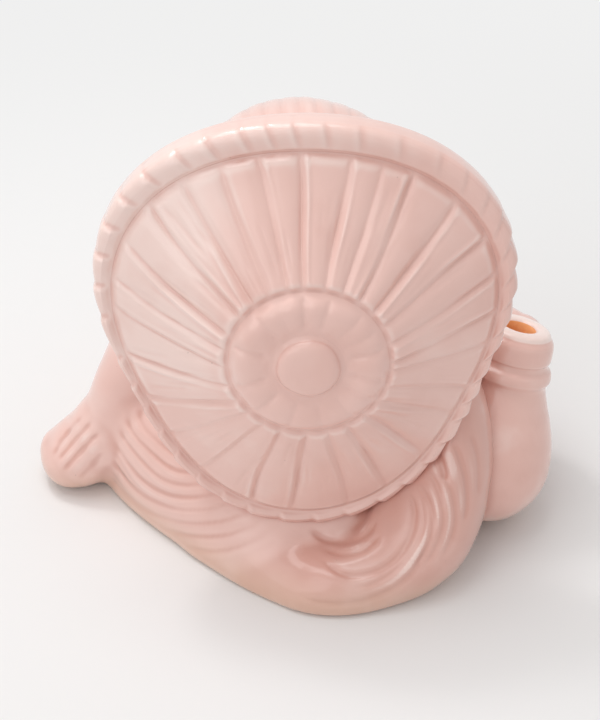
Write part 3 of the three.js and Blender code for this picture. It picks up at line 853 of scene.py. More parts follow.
def make_piece(node, points, faces, marks, glaze, bare=None, normals=None):
    """A glazed piece that replaces a solid. Faces marked bare show the clay."""
    mesh = bpy.data.meshes.new("glazed_" + node)
    mesh.from_pydata((points * MM).tolist(), [], faces)
    mesh.polygons.foreach_set("use_smooth", np.ones(len(faces), bool))
    mesh.materials.append(MATERIALS[glaze])
    mesh.materials.append(MATERIALS["bare_clay"])
    if bare is not None:
        mesh.polygons.foreach_set("material_index", bare.astype(np.int32))
    for label, values in marks.items():
        mesh.attributes.new(label, "FLOAT", "POINT").data.foreach_set("value", values.astype(np.float32))
    mesh.update()
    if normals is None:
        mesh.set_sharp_from_angle(angle=math.radians(55))
    else:
        mesh.normals_split_custom_set_from_vertices(normals.tolist())
    piece = bpy.data.objects.new("glazed_" + node, mesh)
    bpy.context.scene.collection.objects.link(piece)
    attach(piece, "root")
    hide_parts(node)
    return piece


print("materials named:", sorted(MATERIALS))

# %% [markdown]
# ## Split the figure into its pieces
# Every quad goes to the piece whose own field is lowest there, so the joints lie in the creases. The open
# edge of a piece is closed by triangles that run in to the heart of its own clay: the middle of an egg,
# or the nearest point on the spine of a limb. So each mesh is watertight, and no lid shows outside.

# %% Split


def open_edges(faces):
    """The directed edges that only one face has."""
    starts = faces.ravel()
    ends = np.roll(faces, -1, axis=1).ravel()
    size = faces.max() + 1
    there = starts * size + ends
    back = ends * size + starts
    lone = ~np.isin(there, back)
    return np.column_stack([starts[lone], ends[lone]])


HEARTS = {
    "body": [(0, -6, z) for z in range(8, 60, 4)],
    "left_haunch": [LEFT_HAUNCH["centre"]],
    "right_haunch": [RIGHT_HAUNCH["centre"]],
    "tail": TAIL[0][::5],
    "left_arm": LEFT_ARM[0][::4],
    "right_arm": RIGHT_ARM[0][::4],
    "left_paw": [LEFT_PALM],
    "right_paw": [RIGHT_PALM],
    "head": [HEAD["centre"]],
    "muzzle": [MUZZLE["centre"]],
    "nose": [NOSE["centre"]],
}
EYE_HEART = -1.5
EAR_HEART = np.array([0, 1.5, 0])
for hand, side in (("left", 1), ("right", -1)):
    HEARTS[hand + "_foot"] = [(side * x, y, z) for x, y, z in FOOT]
    HEARTS[hand + "_eye"] = [on_skin(HEAD, *EYE_SEAT, EYE_HEART, side)]
    HEARTS[hand + "_ear"] = [on_skin(HEAD, *EAR_SEAT, side) + EAR_HEART]


def lid(edges, edge_points, heart, first):
    """Triangles from open edges in to the heart's points, which are numbered from first on."""
    heart = np.array(heart, float)
    nearest = np.linalg.norm(edge_points[:, :, None] - heart[None, None], axis=3).argmin(2) + first
    faces = []
    for (start, end), (near_start, near_end) in zip(edges.tolist(), nearest.tolist()):
        faces.append([end, start, near_start])
        if near_start != near_end:
            faces.append([end, near_start, near_end])
    return heart, faces


FLAT_FOOT = 0.3
DRAIN_EDGE = 1.5
quad_owner = own_table[quads].mean(1).argmin(1)
for column, node in enumerate(own_names):
    faces = quads[quad_owner == column]
    used, local = np.unique(faces, return_inverse=True)
    local = local.reshape(faces.shape)
    edges = open_edges(local)
    heart, closing = lid(edges, points[used][edges], HEARTS[node], len(used))
    blank = np.zeros(len(heart))
    # The first mark is the glaze's own pooling with painted light and shade in it, the second painted
    # shade.
    marks = {
        "pool": np.append(figure_pool_light_shade[used], blank),
        "painted_shade": np.append(figure_painted_shade[used], blank),
    }
    piece_normals = np.vstack([normals[used], np.tile((0, 0, 1.0), (len(heart), 1))])
    corners = points[faces]
    tops = corners[:, :, 2].max(1)
    under = (tops < FLAT_FOOT) & (normals[faces][:, :, 2].mean(1) < -0.5)
    in_drain = (drain_field(corners.mean(1)) < DRAIN_EDGE) & (tops < DRAIN_DEPTH + 2)
    bare = np.concatenate([under | in_drain, np.zeros(len(closing), bool)])
    piece_points = np.vstack([points[used], heart])
    make_piece(node, piece_points, local.tolist() + closing, marks, "pink_glaze", bare, piece_normals)
    print(f"{node}: {len(faces)} quads, {len(closing)} closing triangles")

# %% [markdown]
# ## Rings of points
# The hat and the flask are built from rings: a section swept all the way round, with as many points on
# each ring. Where a ring closes on itself it is joined to the first one again, and otherwise a pole
# closes each end.

# %% Skin over rings


def skin_rings(rings, poles=None):
    """Points and faces over an array of rings. Without poles the last ring joins the first."""
    rows, columns = rings.shape[:2]
    grid = np.arange(rows * columns).reshape(rows, columns)
    beside = np.roll(grid, -1, axis=1)
    low = slice(0, rows - 1) if poles is not None else slice(0, rows)
    above = np.roll(grid, -1, axis=0)[low]
    above_beside = np.roll(beside, -1, axis=0)[low]
    quads = np.stack([grid[low], beside[low], above_beside, above], axis=2).reshape(-1, 4)
    points = rings.reshape(-1, 3)
    fans = []
    if poles is not None:
        points = np.vstack([points, poles])
        first = rows * columns
        fans += [[first, b, a] for a, b in zip(grid[0].tolist(), beside[0].tolist())]
        fans += [[first + 1, a, b] for a, b in zip(grid[-1].tolist(), beside[-1].tolist())]
    return points, quads, fans


def outward(points, quads, fans):
    """The same faces, turned so that the skin looks out."""
    corner = points[quads]
    volume = np.einsum("ij,ij->i", corner[:, 0], np.cross(corner[:, 1], corner[:, 2])).sum()
    volume += np.einsum("ij,ij->i", corner[:, 0], np.cross(corner[:, 2], corner[:, 3])).sum()
    if volume < 0:
        return quads[:, ::-1], [face[::-1] for face in fans]
    return quads, fans


print("ring helpers ready")

# %% [markdown]
# ## The hat's front as one grid
# The hat is built from rings of points on a tilted plane. Its knob, crown, cone and rim are pieces of
# their own, but their fronts meet in the ring grooves. So all the rings are worked out first, as radii
# and heights in one grid, and the light and the pooling are worked out over the whole front before it is
# cut into pieces.

# %% Hat grid
FINE_COLUMNS = 900
COLUMNS = FINE_COLUMNS
TURNS = np.linspace(0, 2 * math.pi, COLUMNS, endpoint=False)
CROWN_SHIFT = np.array([-0.9, 0, -1.3])


def hat_rings(radius, height, off_middle):
    """Points of the hat from radii and heights, a row for each ring, set off the middle as the crown is."""
    flat = np.broadcast_to(height, radius.shape)
    local = np.stack([radius * np.cos(TURNS), flat, radius * np.sin(TURNS)], axis=2)
    shift = np.broadcast_to(off_middle, radius.shape)[..., None] * CROWN_SHIFT
    return local @ HAT_TURN.T + HAT_CENTRE + shift


def turned_from(turn, other):
    """The angle from one direction round the hat to another, between minus and plus half a turn."""
    return (turn - other + math.pi) % (2 * math.pi) - math.pi


def round_hat(degrees, values):
    """A value that changes softly round the hat, from a few places in degrees."""
    return np.interp(np.degrees(TURNS), degrees, values)[None, :]


rim_extra = round_hat([0, 190, 215, 300, 330, 360], [0, 0, 1.4, 1.4, 0.3, 0])[0]
band = rim_radius(TURNS) - groove_radius(TURNS) + rim_extra
ring_depth = np.interp(band, [2.8, 6], [0.3, 0.75])
print("rings of", COLUMNS, "points")

# %% [markdown]
# ## Knob and crown
# In the middle of the cone sits a low disc, swollen like a cushion, with short nicks cut across it, and a
# button in a groove of its own. One section runs from the top of the button down into its groove, up over
# the crown and down into the next groove. Nothing is quite round: the button's radius swings by a few
# hundredths.

# %% Knob and crown
KNOB_SECTION = [(0.8, 19), (3.4, 18.95), (5.6, 18.8), (7.1, 18.35), (7.9, 17.6), (8.35, 16.8), (9.3, 16.2)]
CROWN_SECTION = [
    (9.3, 16.2), (10.3, 16.2), (11.8, 16.7), (13.6, 17.1), (15.6, 17.3), (17.4, 17), (18.9, 16.2),
    (20, 15), (20.8, 14.2),
]
CROWN_NICKS = [
    (15.5, 1), (46, 0.6), (66, 0.3), (86, 1), (106, 0.7), (133, 0.5), (150, 0.4), (167, 1),
    (194, 1), (212, 0.9), (232, 0.5), (258, 0.4), (285, 0.5), (314, 0.8), (341, 0.9),
]
KNOB_ROWS = 30
CROWN_ROWS = 44

section = smooth_run(KNOB_SECTION, np.linspace(0, 1, KNOB_ROWS))
uneven = 0.02 * np.cos(3 * TURNS + 0.5) + 0.015 * np.cos(5 * TURNS + 2)
knob_radius = section[:, :1] * (1 + uneven * np.linspace(1, 0, KNOB_ROWS)[:, None] ** 0.3)
knob_height = section[:, 1:] + 0 * TURNS
section = smooth_run(CROWN_SECTION, np.linspace(0, 1, CROWN_ROWS))
crown_radius = section[:, :1] + 0 * TURNS
crown_height = section[:, 1:] + 0 * TURNS
along = between(crown_radius, 10, 12.5) * (1 - between(crown_radius, 18.6, 20.4))
for turn, strength in CROWN_NICKS:
    off = turned_from(TURNS, math.radians(turn))[None, :] * crown_radius
    cut = 0.3 * np.exp(-((off / 0.8) ** 2)) + 0.55 * np.exp(-((off / 1.9) ** 2))
    crown_height = crown_height - strength * cut * along
print("nicks in the crown:", len(CROWN_NICKS))

# %% [markdown]
# ## Pleats
# Straw is pleated from the crown to the rim. The potter cut the folds by eye, so no two are alike: each
# has its own direction at the crown, its own at the rim and its own depth, listed below in degrees round
# the hat from the animal's left. The panel between two pleats swells like a small cushion, one bank of a
# pleat stands a little proud, and a hasty tool has left fine scratches.

# %% Pleats
PLEATS = np.array([
    (-4, 9, 0.8), (10, 18, 0.5), (21, 30.5, 1), (37, 43, 0.9), (51, 54.5, 0.8), (62, 66, 0.4),
    (76, 76.5, 0.6), (86.5, 88.5, 1), (101, 103, 0.9), (113, 112, 0.3), (126, 121, 1), (138.5, 135, 1),
    (150.5, 149, 0.9), (165, 161, 0.8), (180, 173, 0.8), (186, 184.5, 0.4), (200, 202, 0.6),
    (212, 212.5, 0.6), (227, 229.5, 0.8), (242.5, 245, 0.8), (256, 257.5, 0.5), (271, 274, 0.8),
    (289, 285, 0.9), (302, 303, 0.6), (316, 318, 0.4), (328.5, 334, 0.8), (341, 352.5, 1),
])
PILLOW = 0.55
SCRATCHES = 140
CONE_ROWS = 84
RING_DEPTH = 1.0
RING_WIDTH = 1.1

share = np.linspace(0, 1, CONE_ROWS)[:, None]
edge = groove_radius(TURNS)[None, :]
cone_radius = CROWN_RADIUS + (edge - CROWN_RADIUS) * share
cone_height = CROWN_HEIGHT * (1 - share) + 0 * edge
ends = between(share, 0, 0.08) * (1 - between(share, 0.94, 1))
lies = PLEATS[None, :, 0] + (PLEATS[:, 1] - PLEATS[:, 0])[None, :] * share
for number, line in enumerate(lies):
    spots = np.concatenate([line - 360, line, line + 360])
    place = np.interp(np.degrees(TURNS), spots, np.arange(len(spots))) % 1
    cone_height[number] += PILLOW * ends[number] * (1 - (2 * place - 1) ** 2)
for number, strength in enumerate(PLEATS[:, 2]):
    wander = 0.35 * np.sin(rng.uniform(3, 7) * share + rng.uniform(0, 6))
    off = turned_from(TURNS[None, :], np.radians(lies[:, number : number + 1])) * cone_radius + wander
    ebb = 0.75 + 0.35 * np.sin(rng.uniform(3, 9) * share + rng.uniform(0, 6))
    cut = 0.3 * np.exp(-((off / 0.55) ** 2)) + 0.42 * np.exp(-((off / 1.5) ** 2))
    bank = 0.45 * np.exp(-(((off - rng.choice([-1, 1]) * 1.7) / 0.7) ** 2))
    cone_height = cone_height - strength * ebb * ends * (cut - bank)
for _ in range(SCRATCHES):
    start = rng.uniform(0, 0.6)
    stop = start + rng.uniform(0.2, 0.5)
    way = rng.uniform(0, 2 * math.pi) + rng.normal(0, 0.03) * share
    off = turned_from(TURNS[None, :], way) * cone_radius
    fade = between(share, start, start + 0.12) * (1 - between(share, stop - 0.15, stop)) * ends
    scratch = rng.uniform(0.05, 0.2) * fade
    cone_height = cone_height - scratch * np.exp(-((off / rng.uniform(0.45, 1.0)) ** 2))
cone_height = cone_height - RING_DEPTH * np.exp(-(((cone_radius - CROWN_RADIUS) / RING_WIDTH) ** 2))
cone_height = cone_height - ring_depth * np.exp(-(((cone_radius - edge) / RING_WIDTH) ** 2))
print("pleats:", len(PLEATS), "scratches:", SCRATCHES)

# %% [markdown]
# ## The bound rim
# A band of straw is bound over the edge, and the binding nicks it all the way round, into panels that
# swell a little and overlap like shingles. The band is broad over the animal's head and thin under its
# back. Its section runs out of the ring groove, over the swollen band, round the thick edge and back to
# the wall behind the groove.

# %% Rim
RIM_NICKS = np.array([
    5.5, 15, 24, 32.5, 41, 49.5, 59, 67, 76, 82.5, 89, 97, 106, 117, 128, 136, 144, 152.5, 160, 168,
    176, 185, 193, 202, 210, 217, 226, 234, 243, 251, 260, 268, 277, 286, 294, 303, 313, 322, 332, 341,
    351,
])
RIM_ROWS = 76

corner = np.minimum(2.4, 0.42 * band)
rise = np.interp(band, [2.8, 6], [0.6, 1])
outs = [0 * band, np.minimum(0.7, 0.15 * band), np.minimum(1.6, 0.3 * band), 0.5 * band, band - corner]
outs += [band - 0.4 * corner, band - 0.08 * corner, band, band, 0.92 * band, 0.5 * band, 0 * band]
ups = [-ring_depth, -0.45 * ring_depth, 0.3 * rise, 0.85 * rise, 0.8 * rise, 0.1, -1.2, -2.8, -5.6, -8]
ups += [RIM_BACK, RIM_BACK + 0.5]
row = np.linspace(0, 1, RIM_ROWS)[:, None]
rim_out = smooth_run(np.array(outs), row[:, 0])
rim_height = smooth_run(np.array([up + 0 * TURNS for up in ups]), row[:, 0])
lean = round_hat([0, 100, 110, 140, 150, 180, 220, 270, 360], [-1, -2, -3, -4, -7, -7, -5, 0, -1])
turned = np.degrees(TURNS)[None, :] - lean * np.clip(rim_out / band, 0, 1)
spots = np.concatenate([RIM_NICKS[-2:] - 360, RIM_NICKS, RIM_NICKS[:2] + 360])
place = np.interp(turned, spots, np.arange(len(spots))) % 1
beside = np.minimum(place, 1 - place)
shingle = (0.5 - place) * (1 - np.exp(-((beside / 0.1) ** 2)))
panel = 1.2 * shingle + 0.6 * np.exp(-((beside / 0.1) ** 2)) + 0.3 * (2 * place - 1) ** 2
face = between(row, 0.08, 0.3) * (1 - between(row, 0.5, 0.64))
wall = between(row, 0.42, 0.55) * (1 - between(row, 0.72, 0.82))
face_turns = [0, 60, 80, 120, 180, 200, 270, 330, 360]
face_depth = round_hat(face_turns, [1.0, 0.9, 0.4, 0.3, 0.5, 0.75, 0.65, 0.5, 1.0])
wall_turns = [0, 30, 60, 110, 140, 153, 200, 250, 280, 330, 360]
wall_depth = round_hat(wall_turns, [0.5, 0.4, 0.1, 0, 0.1, 1.1, 1.4, 1.4, 0.9, 0.4, 0.5])
rim_height = rim_height - face_depth * panel * face
rim_out = edge + rim_out - wall_depth * panel * wall
print("nicks in the rim:", len(RIM_NICKS))

# %% [markdown]
# ## Cut the front into its pieces
# The rings are stacked into one grid, which gives the normals, the pooling with its painted light and the
# painted shade. Then each piece takes its own rows and is closed behind: the knob and the crown with a
# pole, the cone with walls down to its flat back, and the rim with the wall behind its groove. The hidden
# rows carry no normal of their own, so Blender works theirs out.

# %% Hat pieces
starts = np.cumsum([0, KNOB_ROWS - 1, CROWN_ROWS - 1, CONE_ROWS - 1, RIM_ROWS - 1])
grid_radius = np.vstack([knob_radius[:-1], crown_radius[:-1], cone_radius[:-1], rim_out])
grid_height = np.vstack([knob_height[:-1], crown_height[:-1], cone_height[:-1], rim_height])
grid_shift = np.interp(np.arange(len(grid_radius)), [starts[2], starts[3]], [1, 0])[:, None]
front = hat_rings(grid_radius, grid_height, grid_shift)
grid_points, grid_quads, _ = skin_rings(front, np.zeros((2, 3)))
grid_points = grid_points[:-2]
grid_normals = vertex_normals(grid_points, grid_quads)
if (grid_normals @ HAT_TURN[:, 1]).mean() < 0:
    grid_normals = -grid_normals
HAT_POOL = 0.55
hat_pool_and_light = HAT_POOL * pooling(grid_points, grid_quads, grid_normals, POOL_ROUNDS)
# Painted light: paler over the top of the rim and down the hat's left.
hat_pool_and_light -= PAINTED_LIGHT_SHARE * painted_light(grid_points)
# The second mark is painted shade in the hat's recesses.
grid_marks = {"pool": hat_pool_and_light, "painted_shade": painted_shade(grid_points, grid_normals)}


def hat_piece(node, number, back, poles=None):
    """A piece from its rows of the grid, closed by the rings behind it."""
    rows = slice(starts[number], starts[number + 1] + 1)
    take = slice(rows.start * COLUMNS, rows.stop * COLUMNS)
    points, quads, fans = skin_rings(np.concatenate([front[rows], back]), poles)
    quads, fans = outward(points, quads, fans)
    hidden = len(points) - (take.stop - take.start)
    marks = {label: np.append(values[take], np.zeros(hidden)) for label, values in grid_marks.items()}
    normals = np.vstack([grid_normals[take], np.zeros((hidden, 3))])
    make_piece(node, points, quads.tolist() + fans, marks, "pink_glaze", normals=normals)
    print(f"{node}: {len(quads)} quads")


def ring_at(radius, height, off_middle):
    return hat_rings(np.broadcast_to(radius, (1, COLUMNS)), height, off_middle)


def pole_at(height):
    return hat_rings(np.zeros((1, COLUMNS)), height, 1.0)[0, 0]


KNOB_TOP = 19.02
KNOB_BACK = 15.8
no_ring = np.zeros((0, COLUMNS, 3))
hat_piece("hat_knob", 0, no_ring, [pole_at(KNOB_TOP), pole_at(KNOB_BACK)])
hat_piece("hat_crown", 1, ring_at(CROWN_RADIUS, HAT_BACK, 1.0), [pole_at(CROWN_HEIGHT), pole_at(HAT_BACK)])
cone_back = np.concatenate([ring_at(edge, HAT_BACK, 0.0), ring_at(CROWN_RADIUS, HAT_BACK, 1.0)])
hat_piece("hat_cone", 2, cone_back)
hat_piece("hat_rim", 3, no_ring)

# %% [markdown]
# ## The flask
# A turned bottle with a swollen belly, a ring at the neck and a thick lip. Outside it is glazed; inside,
# the bare orange clay shows. The profile runs up the outside, over the lip and down the bore in one line.
# Blender's screw modifier would turn it too, but with rings the same helper gives the pooling as well.

# %% Flask
BORE_RADIUS = 4.3
FLASK_FLOOR = -14.5
FLASK_COLUMNS = 144
FLASK_OUTSIDE = 110
LIP_SECTION = [(37.4, 9.6), (38.6, 8.9), (39.2, 7.6), (39.2, 6), (38.6, 4.9), (37, 4.4), (35, BORE_RADIUS)]
BORE_SECTION = [
    (35, BORE_RADIUS), (22, BORE_RADIUS), (16, 8), (8, 11.4), (0, 13.4), (-6, 13.2), (-11, 11),
    (FLASK_FLOOR, 7),
]
LIP_ROWS = 24
BORE_ROWS = 40
LIP_GLAZED = 15

outside = smooth_run(FLASK_PROFILE, np.linspace(0, 1, FLASK_OUTSIDE))
lip = smooth_run(LIP_SECTION, np.linspace(0, 1, LIP_ROWS))[1:]
bore = smooth_run(BORE_SECTION, np.linspace(0, 1, BORE_ROWS))[1:]
profile = np.concatenate([outside, lip, bore])
bare_rows = np.arange(len(profile) - 1) >= FLASK_OUTSIDE + LIP_GLAZED
flask_turn = np.linspace(0, 2 * math.pi, FLASK_COLUMNS, endpoint=False)
side = np.cross(FLASK_AXIS, (0, 1, 0))
side = side / np.linalg.norm(side)
other = np.cross(FLASK_AXIS, side)
round_out = np.outer(np.cos(flask_turn), side) + np.outer(np.sin(flask_turn), other)
wobble = 1 + 0.006 * np.cos(2 * flask_turn + 1)[None, :, None]
rings = profile[:, 1, None, None] * round_out[None] * wobble
rings = FLASK_CENTRE + rings + profile[:, 0, None, None] * FLASK_AXIS
poles = [FLASK_CENTRE + level * FLASK_AXIS for level in (FLASK_PROFILE[0, 0], FLASK_FLOOR)]
print("flask rows:", len(profile))

# %% [markdown]
# ## Glaze on the flask
# The flask's glaze pools as the figure's does, with painted shade in its recesses. It is paler over the lip
# and a little deeper on the lower belly. Past the lip the rows are marked as bare clay.

# %% Flask piece
FLASK_POOL_ROUNDS = 8
PALE_LIP = 1.4
DEEP_BELLY = 0.4


def ring_piece(node, rings, poles, glaze, bare, paler):
    """A piece swept round, with its own pooling and painted shade. Bare marks the rows of clay, the next
    argument how much paler each row is made.
    """
    columns = rings.shape[1]
    points, quads, fans = skin_rings(rings, poles)
    quads, fans = outward(points, quads, fans)
    normals = vertex_normals(points, quads)
    pool = pooling(points, np.ascontiguousarray(quads), normals, FLASK_POOL_ROUNDS)
    pool[: len(paler) * columns] -= np.repeat(paler, columns)
    # The second mark is painted shade in the flask's recesses.
    marks = {"pool": pool, "painted_shade": painted_shade(points, normals)}
    clay = np.zeros(len(quads) + len(fans), bool)
    clay[: len(quads)] = np.repeat(bare, columns)
    clay[len(quads) + columns :] = bare[-1]
    return make_piece(node, points, quads.tolist() + fans, marks, glaze, clay)


paler_rows = PALE_LIP * between(profile[:, 0], 36.5, 38.5)
paler_rows -= DEEP_BELLY * (1 - between(profile[:, 0], 2, 24))
flask = ring_piece("flask", rings, poles, "flask_glaze", bare_rows, paler_rows)
print("flask points:", len(flask.data.vertices))

# %% [markdown]
# ## Pink glaze
# The glaze is a satin pink over pale clay. It is deeper where it pooled, paler on ridges, warmer near the
# foot where it runs thin, and a little mottled everywhere. Painted shade deepens it in recesses and under
# the hat, and painted light pales it over the top and the hat's left. Two materials use it, so it is a node
# group with named inputs and outputs: it puts out a colour, a roughness and a height for the bump. A few
# helpers come first, because a node tree is easier to read as one line for each node.

# %% Node helpers


def new_group(name, inputs, outputs):
    """A shader node group with named sockets."""
    group = bpy.data.node_groups.new(name, "ShaderNodeTree")
    for label, kind, value in inputs:
        socket = group.interface.new_socket(label, in_out="INPUT", socket_type="NodeSocket" + kind)
        socket.default_value = value
    for label, kind in outputs:
        group.interface.new_socket(label, in_out="OUTPUT", socket_type="NodeSocket" + kind)
    return group, group.nodes.new("NodeGroupInput"), group.nodes.new("NodeGroupOutput")


def feed(tree, socket, source):
    """Feed a socket from another node's output, or set it to a plain value."""
    if hasattr(source, "is_output"):
        tree.links.new(source, socket)
    else:
        socket.default_value = source


def add(tree, kind, links=(), **settings):
    """A node with its settings. Links are pairs of an input and what feeds it."""
    node = tree.nodes.new(kind)
    for name, value in settings.items():
        setattr(node, name, value)
    for name, source in links:
        feed(tree, node.inputs[name], source)
    return node


def mixed(tree, factor, one, other):
    """A colour mixed from two by a factor."""
    links = [(0, factor), (6, one), (7, other)]
    return add(tree, "ShaderNodeMix", links, data_type="RGBA").outputs[2]


def worked(tree, operation, one, other):
    """One value worked out from two others."""
    return add(tree, "ShaderNodeMath", [(0, one), (1, other)], operation=operation).outputs[0]


def noise(tree, place, scale, detail):
    """A soft random pattern that stays with the object."""
    links = [("Vector", place), ("Scale", scale), ("Detail", detail)]
    return add(tree, "ShaderNodeTexNoise", links).outputs["Fac"]


def ranged(tree, value, low, high, to_low=0.0, to_high=1.0):
    """A value mapped softly from one range to another."""
    links = [("Value", value), ("From Min", low), ("From Max", high)]
    links += [("To Min", to_low), ("To Max", to_high)]
    return add(tree, "ShaderNodeMapRange", links, interpolation_type="SMOOTHSTEP").outputs["Result"]


print("node helpers ready")

# %% [markdown]
# ## The glaze in layers
# Each layer says what it follows, over which range, how strong it gets and which colour it brings. They
# are laid one over the other, from the broad ones to the specks.

# %% Glaze group
COLOURS = ("Glaze", "Pooled_And_Shaded", "Thin_And_Lit", "Foot", "Speck")
GLAZE_INPUTS = [(label, "Color", (1, 1, 1, 1)) for label in COLOURS]
GLAZE_INPUTS += [("Pool", "Float", 0.0), ("Painted_Shade", "Float", 0.0)]
GLAZE_INPUTS += [("Mottle Scale", "Float", 60.0), ("Gloss", "Float", 0.3)]
GLAZE_OUTPUTS = [("Color", "Color"), ("Roughness", "Float"), ("Height", "Float")]
glaze, given, put = new_group("glaze_pooling_light_and_shade", GLAZE_INPUTS, GLAZE_OUTPUTS)
given = given.outputs
place = add(glaze, "ShaderNodeTexCoord").outputs["Object"]
mottle = noise(glaze, place, given["Mottle Scale"], 3.0)
fine = noise(glaze, place, 900.0, 2.0)
ripple = noise(glaze, place, 260.0, 2.0)
specks = add(glaze, "ShaderNodeTexVoronoi", [("Vector", place), ("Scale", 120.0)]).outputs["Distance"]
rise = add(glaze, "ShaderNodeSeparateXYZ", [("Vector", place)]).outputs["Z"]
# The shade layer is painted shade, and the two pool layers lay painted shade and painted light over the
# glaze's own pooling and pale ridges.
layers = [
    (given["Painted_Shade"], 0.05, 0.7, 0.7, "Pooled_And_Shaded"),
    (given["Pool"], 0.05, 1.0, 0.8, "Pooled_And_Shaded"),
    (given["Pool"], -0.1, -0.9, 0.75, "Thin_And_Lit"),
    (rise, 0.014, 0.0005, 0.75, "Foot"),
    (mottle, 0.5, 0.75, 0.22, "Thin_And_Lit"),
    (mottle, 0.5, 0.25, 0.2, "Pooled_And_Shaded"),
    (specks, 0.035, 0.0, 0.5, "Speck"),
]
colour = given["Glaze"]
for follows, low, high, strength, label in layers:
    colour = mixed(glaze, ranged(glaze, follows, low, high, 0.0, strength), colour, given[label])
glaze.links.new(colour, put.inputs["Color"])
matt = worked(glaze, "ADD", ranged(glaze, ripple, 0.3, 0.7, -0.04, 0.05), given["Gloss"])
glaze.links.new(matt, put.inputs["Roughness"])
glaze.links.new(worked(glaze, "ADD", ripple, fine), put.inputs["Height"])
print("glaze group nodes:", len(glaze.nodes))

# %% [markdown]
# ## The three materials
# The figure and the flask wear the same glaze with slightly different values, and the flask's bore and the
# underside show bare orange clay. Colours that are the same all over sit on the shader's own sockets.

# %% Materials


def shader_of(name):
    """A material's node tree, its shader and nothing else."""
    material = MATERIALS[name]
    material.use_nodes = True
    tree = material.node_tree
    return tree, tree.nodes["Principled BSDF"]


def glazed(name, colours, mottle_scale, gloss):
    """Wear the glaze: the group for what changes over the skin, the shader's own sockets for the rest."""
    tree, shader = shader_of(name)
    links = [(label, (*colour, 1)) for label, colour in colours.items()]
    links += [("Mottle Scale", mottle_scale), ("Gloss", gloss)]
    # The first attribute is pooling with painted light and shade in it, the second painted shade.
    for label in ("Pool", "Painted_Shade"):
        mark = add(tree, "ShaderNodeAttribute", attribute_name=label.lower())
        links.append((label, mark.outputs["Fac"]))
    group = add(tree, "ShaderNodeGroup", links, node_tree=glaze)
    bump_links = [("Height", group.outputs["Height"]), ("Strength", 0.06), ("Distance", 0.0004)]
    bump = add(tree, "ShaderNodeBump", bump_links)
    tree.links.new(group.outputs["Color"], shader.inputs["Base Color"])
    tree.links.new(group.outputs["Roughness"], shader.inputs["Roughness"])
    tree.links.new(bump.outputs["Normal"], shader.inputs["Normal"])
    shader.inputs["Coat Weight"].default_value = 0.8
    shader.inputs["Coat Roughness"].default_value = 0.1


PINK = {
    "Glaze": (0.84, 0.545, 0.48), "Pooled_And_Shaded": (0.67, 0.345, 0.28), "Thin_And_Lit": (0.93, 0.73, 0.67),
    "Foot": (0.72, 0.475, 0.355), "Speck": (0.35, 0.2, 0.16),
}
glazed("pink_glaze", PINK, 55.0, 0.34)
glazed("flask_glaze", {**PINK, "Glaze": (0.85, 0.535, 0.465), "Thin_And_Lit": (1, 0.86, 0.8)}, 70.0, 0.36)

tree, shader = shader_of("bare_clay")
place = add(tree, "ShaderNodeTexCoord").outputs["Object"]
grain = noise(tree, place, 700.0, 4.0)
patch = noise(tree, place, 120.0, 2.0)
colour = mixed(tree, ranged(tree, patch, 0.3, 0.7), (1, 0.5, 0.22, 1), (0.93, 0.4, 0.15, 1))
colour = mixed(tree, ranged(tree, grain, 0.5, 0.75, 0.0, 0.5), colour, (1, 0.66, 0.36, 1))
tree.links.new(colour, shader.inputs["Base Color"])
tree.links.new(ranged(tree, grain, 0.2, 0.8, 0.75, 0.95), shader.inputs["Roughness"])
bump = add(tree, "ShaderNodeBump", [("Height", grain), ("Strength", 0.3), ("Distance", 0.0003)])
tree.links.new(bump.outputs["Normal"], shader.inputs["Normal"])
print("materials:", [material.name for material in MATERIALS.values()])

# %% [markdown]
# ## Table
# A pale table stands for the studio. Far from the figure the camera sees the table as one even white, as
# it does a studio backdrop, and so does a reflection in the glaze. Near the figure it keeps the shadow.

# %% Table
TABLE_REACH = 3.0
EVEN_FROM = 0.12
EVEN_TO = 0.36


def seen_white(tree):
    """1 for rays from the camera, and for those that a shiny or clear surface sends on."""
    path = add(tree, "ShaderNodeLightPath").outputs
    shiny = worked(tree, "MAXIMUM", path["Is Camera Ray"], path["Is Glossy Ray"])
    return worked(tree, "MAXIMUM", shiny, path["Is Transmission Ray"])


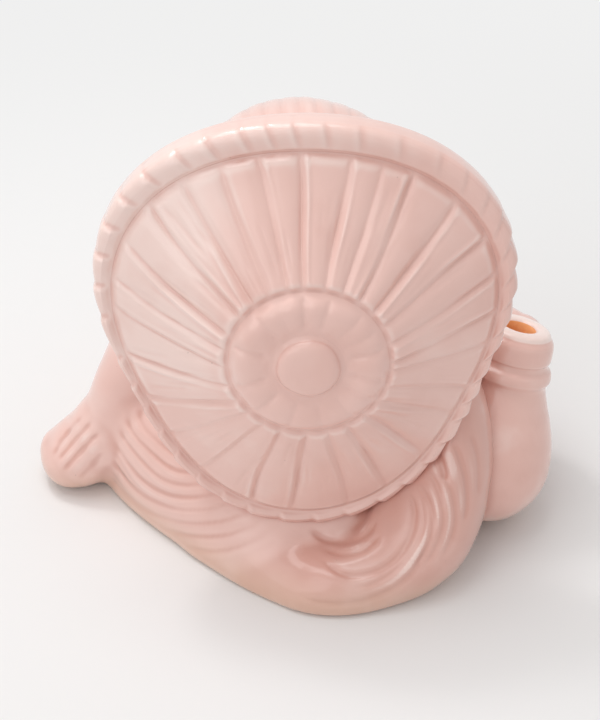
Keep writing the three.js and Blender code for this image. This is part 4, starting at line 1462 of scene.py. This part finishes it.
table_corners = [(TABLE_REACH * x, TABLE_REACH * y, 0) for x, y in ((-1, -1), (1, -1), (1, 1), (-1, 1))]
table_mesh = bpy.data.meshes.new("table")
table_mesh.from_pydata(table_corners, [], [(0, 1, 2, 3)])
table = bpy.data.objects.new("table", table_mesh)
bpy.context.scene.collection.objects.link(table)
table_material = bpy.data.materials.new("pale_table")
table_material.use_nodes = True
table_mesh.materials.append(table_material)
tree = table_material.node_tree
shader = tree.nodes["Principled BSDF"]
shader.inputs["Base Color"].default_value = (0.84, 0.835, 0.83, 1)
shader.inputs["Roughness"].default_value = 0.8
shader.inputs["Specular IOR Level"].default_value = 0.1
place = add(tree, "ShaderNodeTexCoord").outputs["Object"]
away = add(tree, "ShaderNodeVectorMath", [(0, place)], operation="LENGTH").outputs["Value"]
even = worked(tree, "MULTIPLY", ranged(tree, away, EVEN_FROM, EVEN_TO), seen_white(tree))
white = add(tree, "ShaderNodeEmission", [("Color", (0.871, 0.869, 0.867, 1))]).outputs[0]
both = add(tree, "ShaderNodeMixShader", [(0, even), (1, shader.outputs[0]), (2, white)])
tree.links.new(both.outputs[0], tree.nodes["Material Output"].inputs["Surface"])
print("table:", 2 * TABLE_REACH, "m wide")

# %% [markdown]
# ## Light
# A big soft lamp from above and the left, a small one for a spark in the glaze, a broad fill from behind
# the camera and an even white sky. The lights are level with the colours: a white card on the table would
# render just about white.

# %% Light and sky
SKY_LIGHT = 0.62
SKY_SEEN = 0.87


def soft_light(name, place, aim, size, power):
    """A square lamp that looks at a point."""
    lamp = bpy.data.lights.new(name, "AREA")
    lamp.size = size
    lamp.energy = power
    light = bpy.data.objects.new(name, lamp)
    light.location = place
    way = Vector(aim) - Vector(place)
    light.rotation_euler = way.to_track_quat("-Z", "Y").to_euler()
    bpy.context.scene.collection.objects.link(light)


soft_light("soft_box", (0.25, -0.1, 1.0), (0, 0, 0.05), 0.7, 3.6)
soft_light("spark", (0.22, -0.2, 0.68), (0, 0, 0.1), 0.09, 0.6)
soft_light("fill", (0.6, 0.8, 0.75), (0, 0, 0.08), 1.0, 2.3)
world = bpy.data.worlds.new("sky")
bpy.context.scene.world = world
world.use_nodes = True
sky = world.node_tree
background = sky.nodes["Background"].inputs
background["Color"].default_value = (1, 1, 1, 1)
sky.links.new(ranged(sky, seen_white(sky), 0.0, 1.0, SKY_LIGHT, SKY_SEEN), background["Strength"])
bpy.context.scene.view_settings.view_transform = "Standard"
print("lights:", [light.name for light in bpy.data.lights])
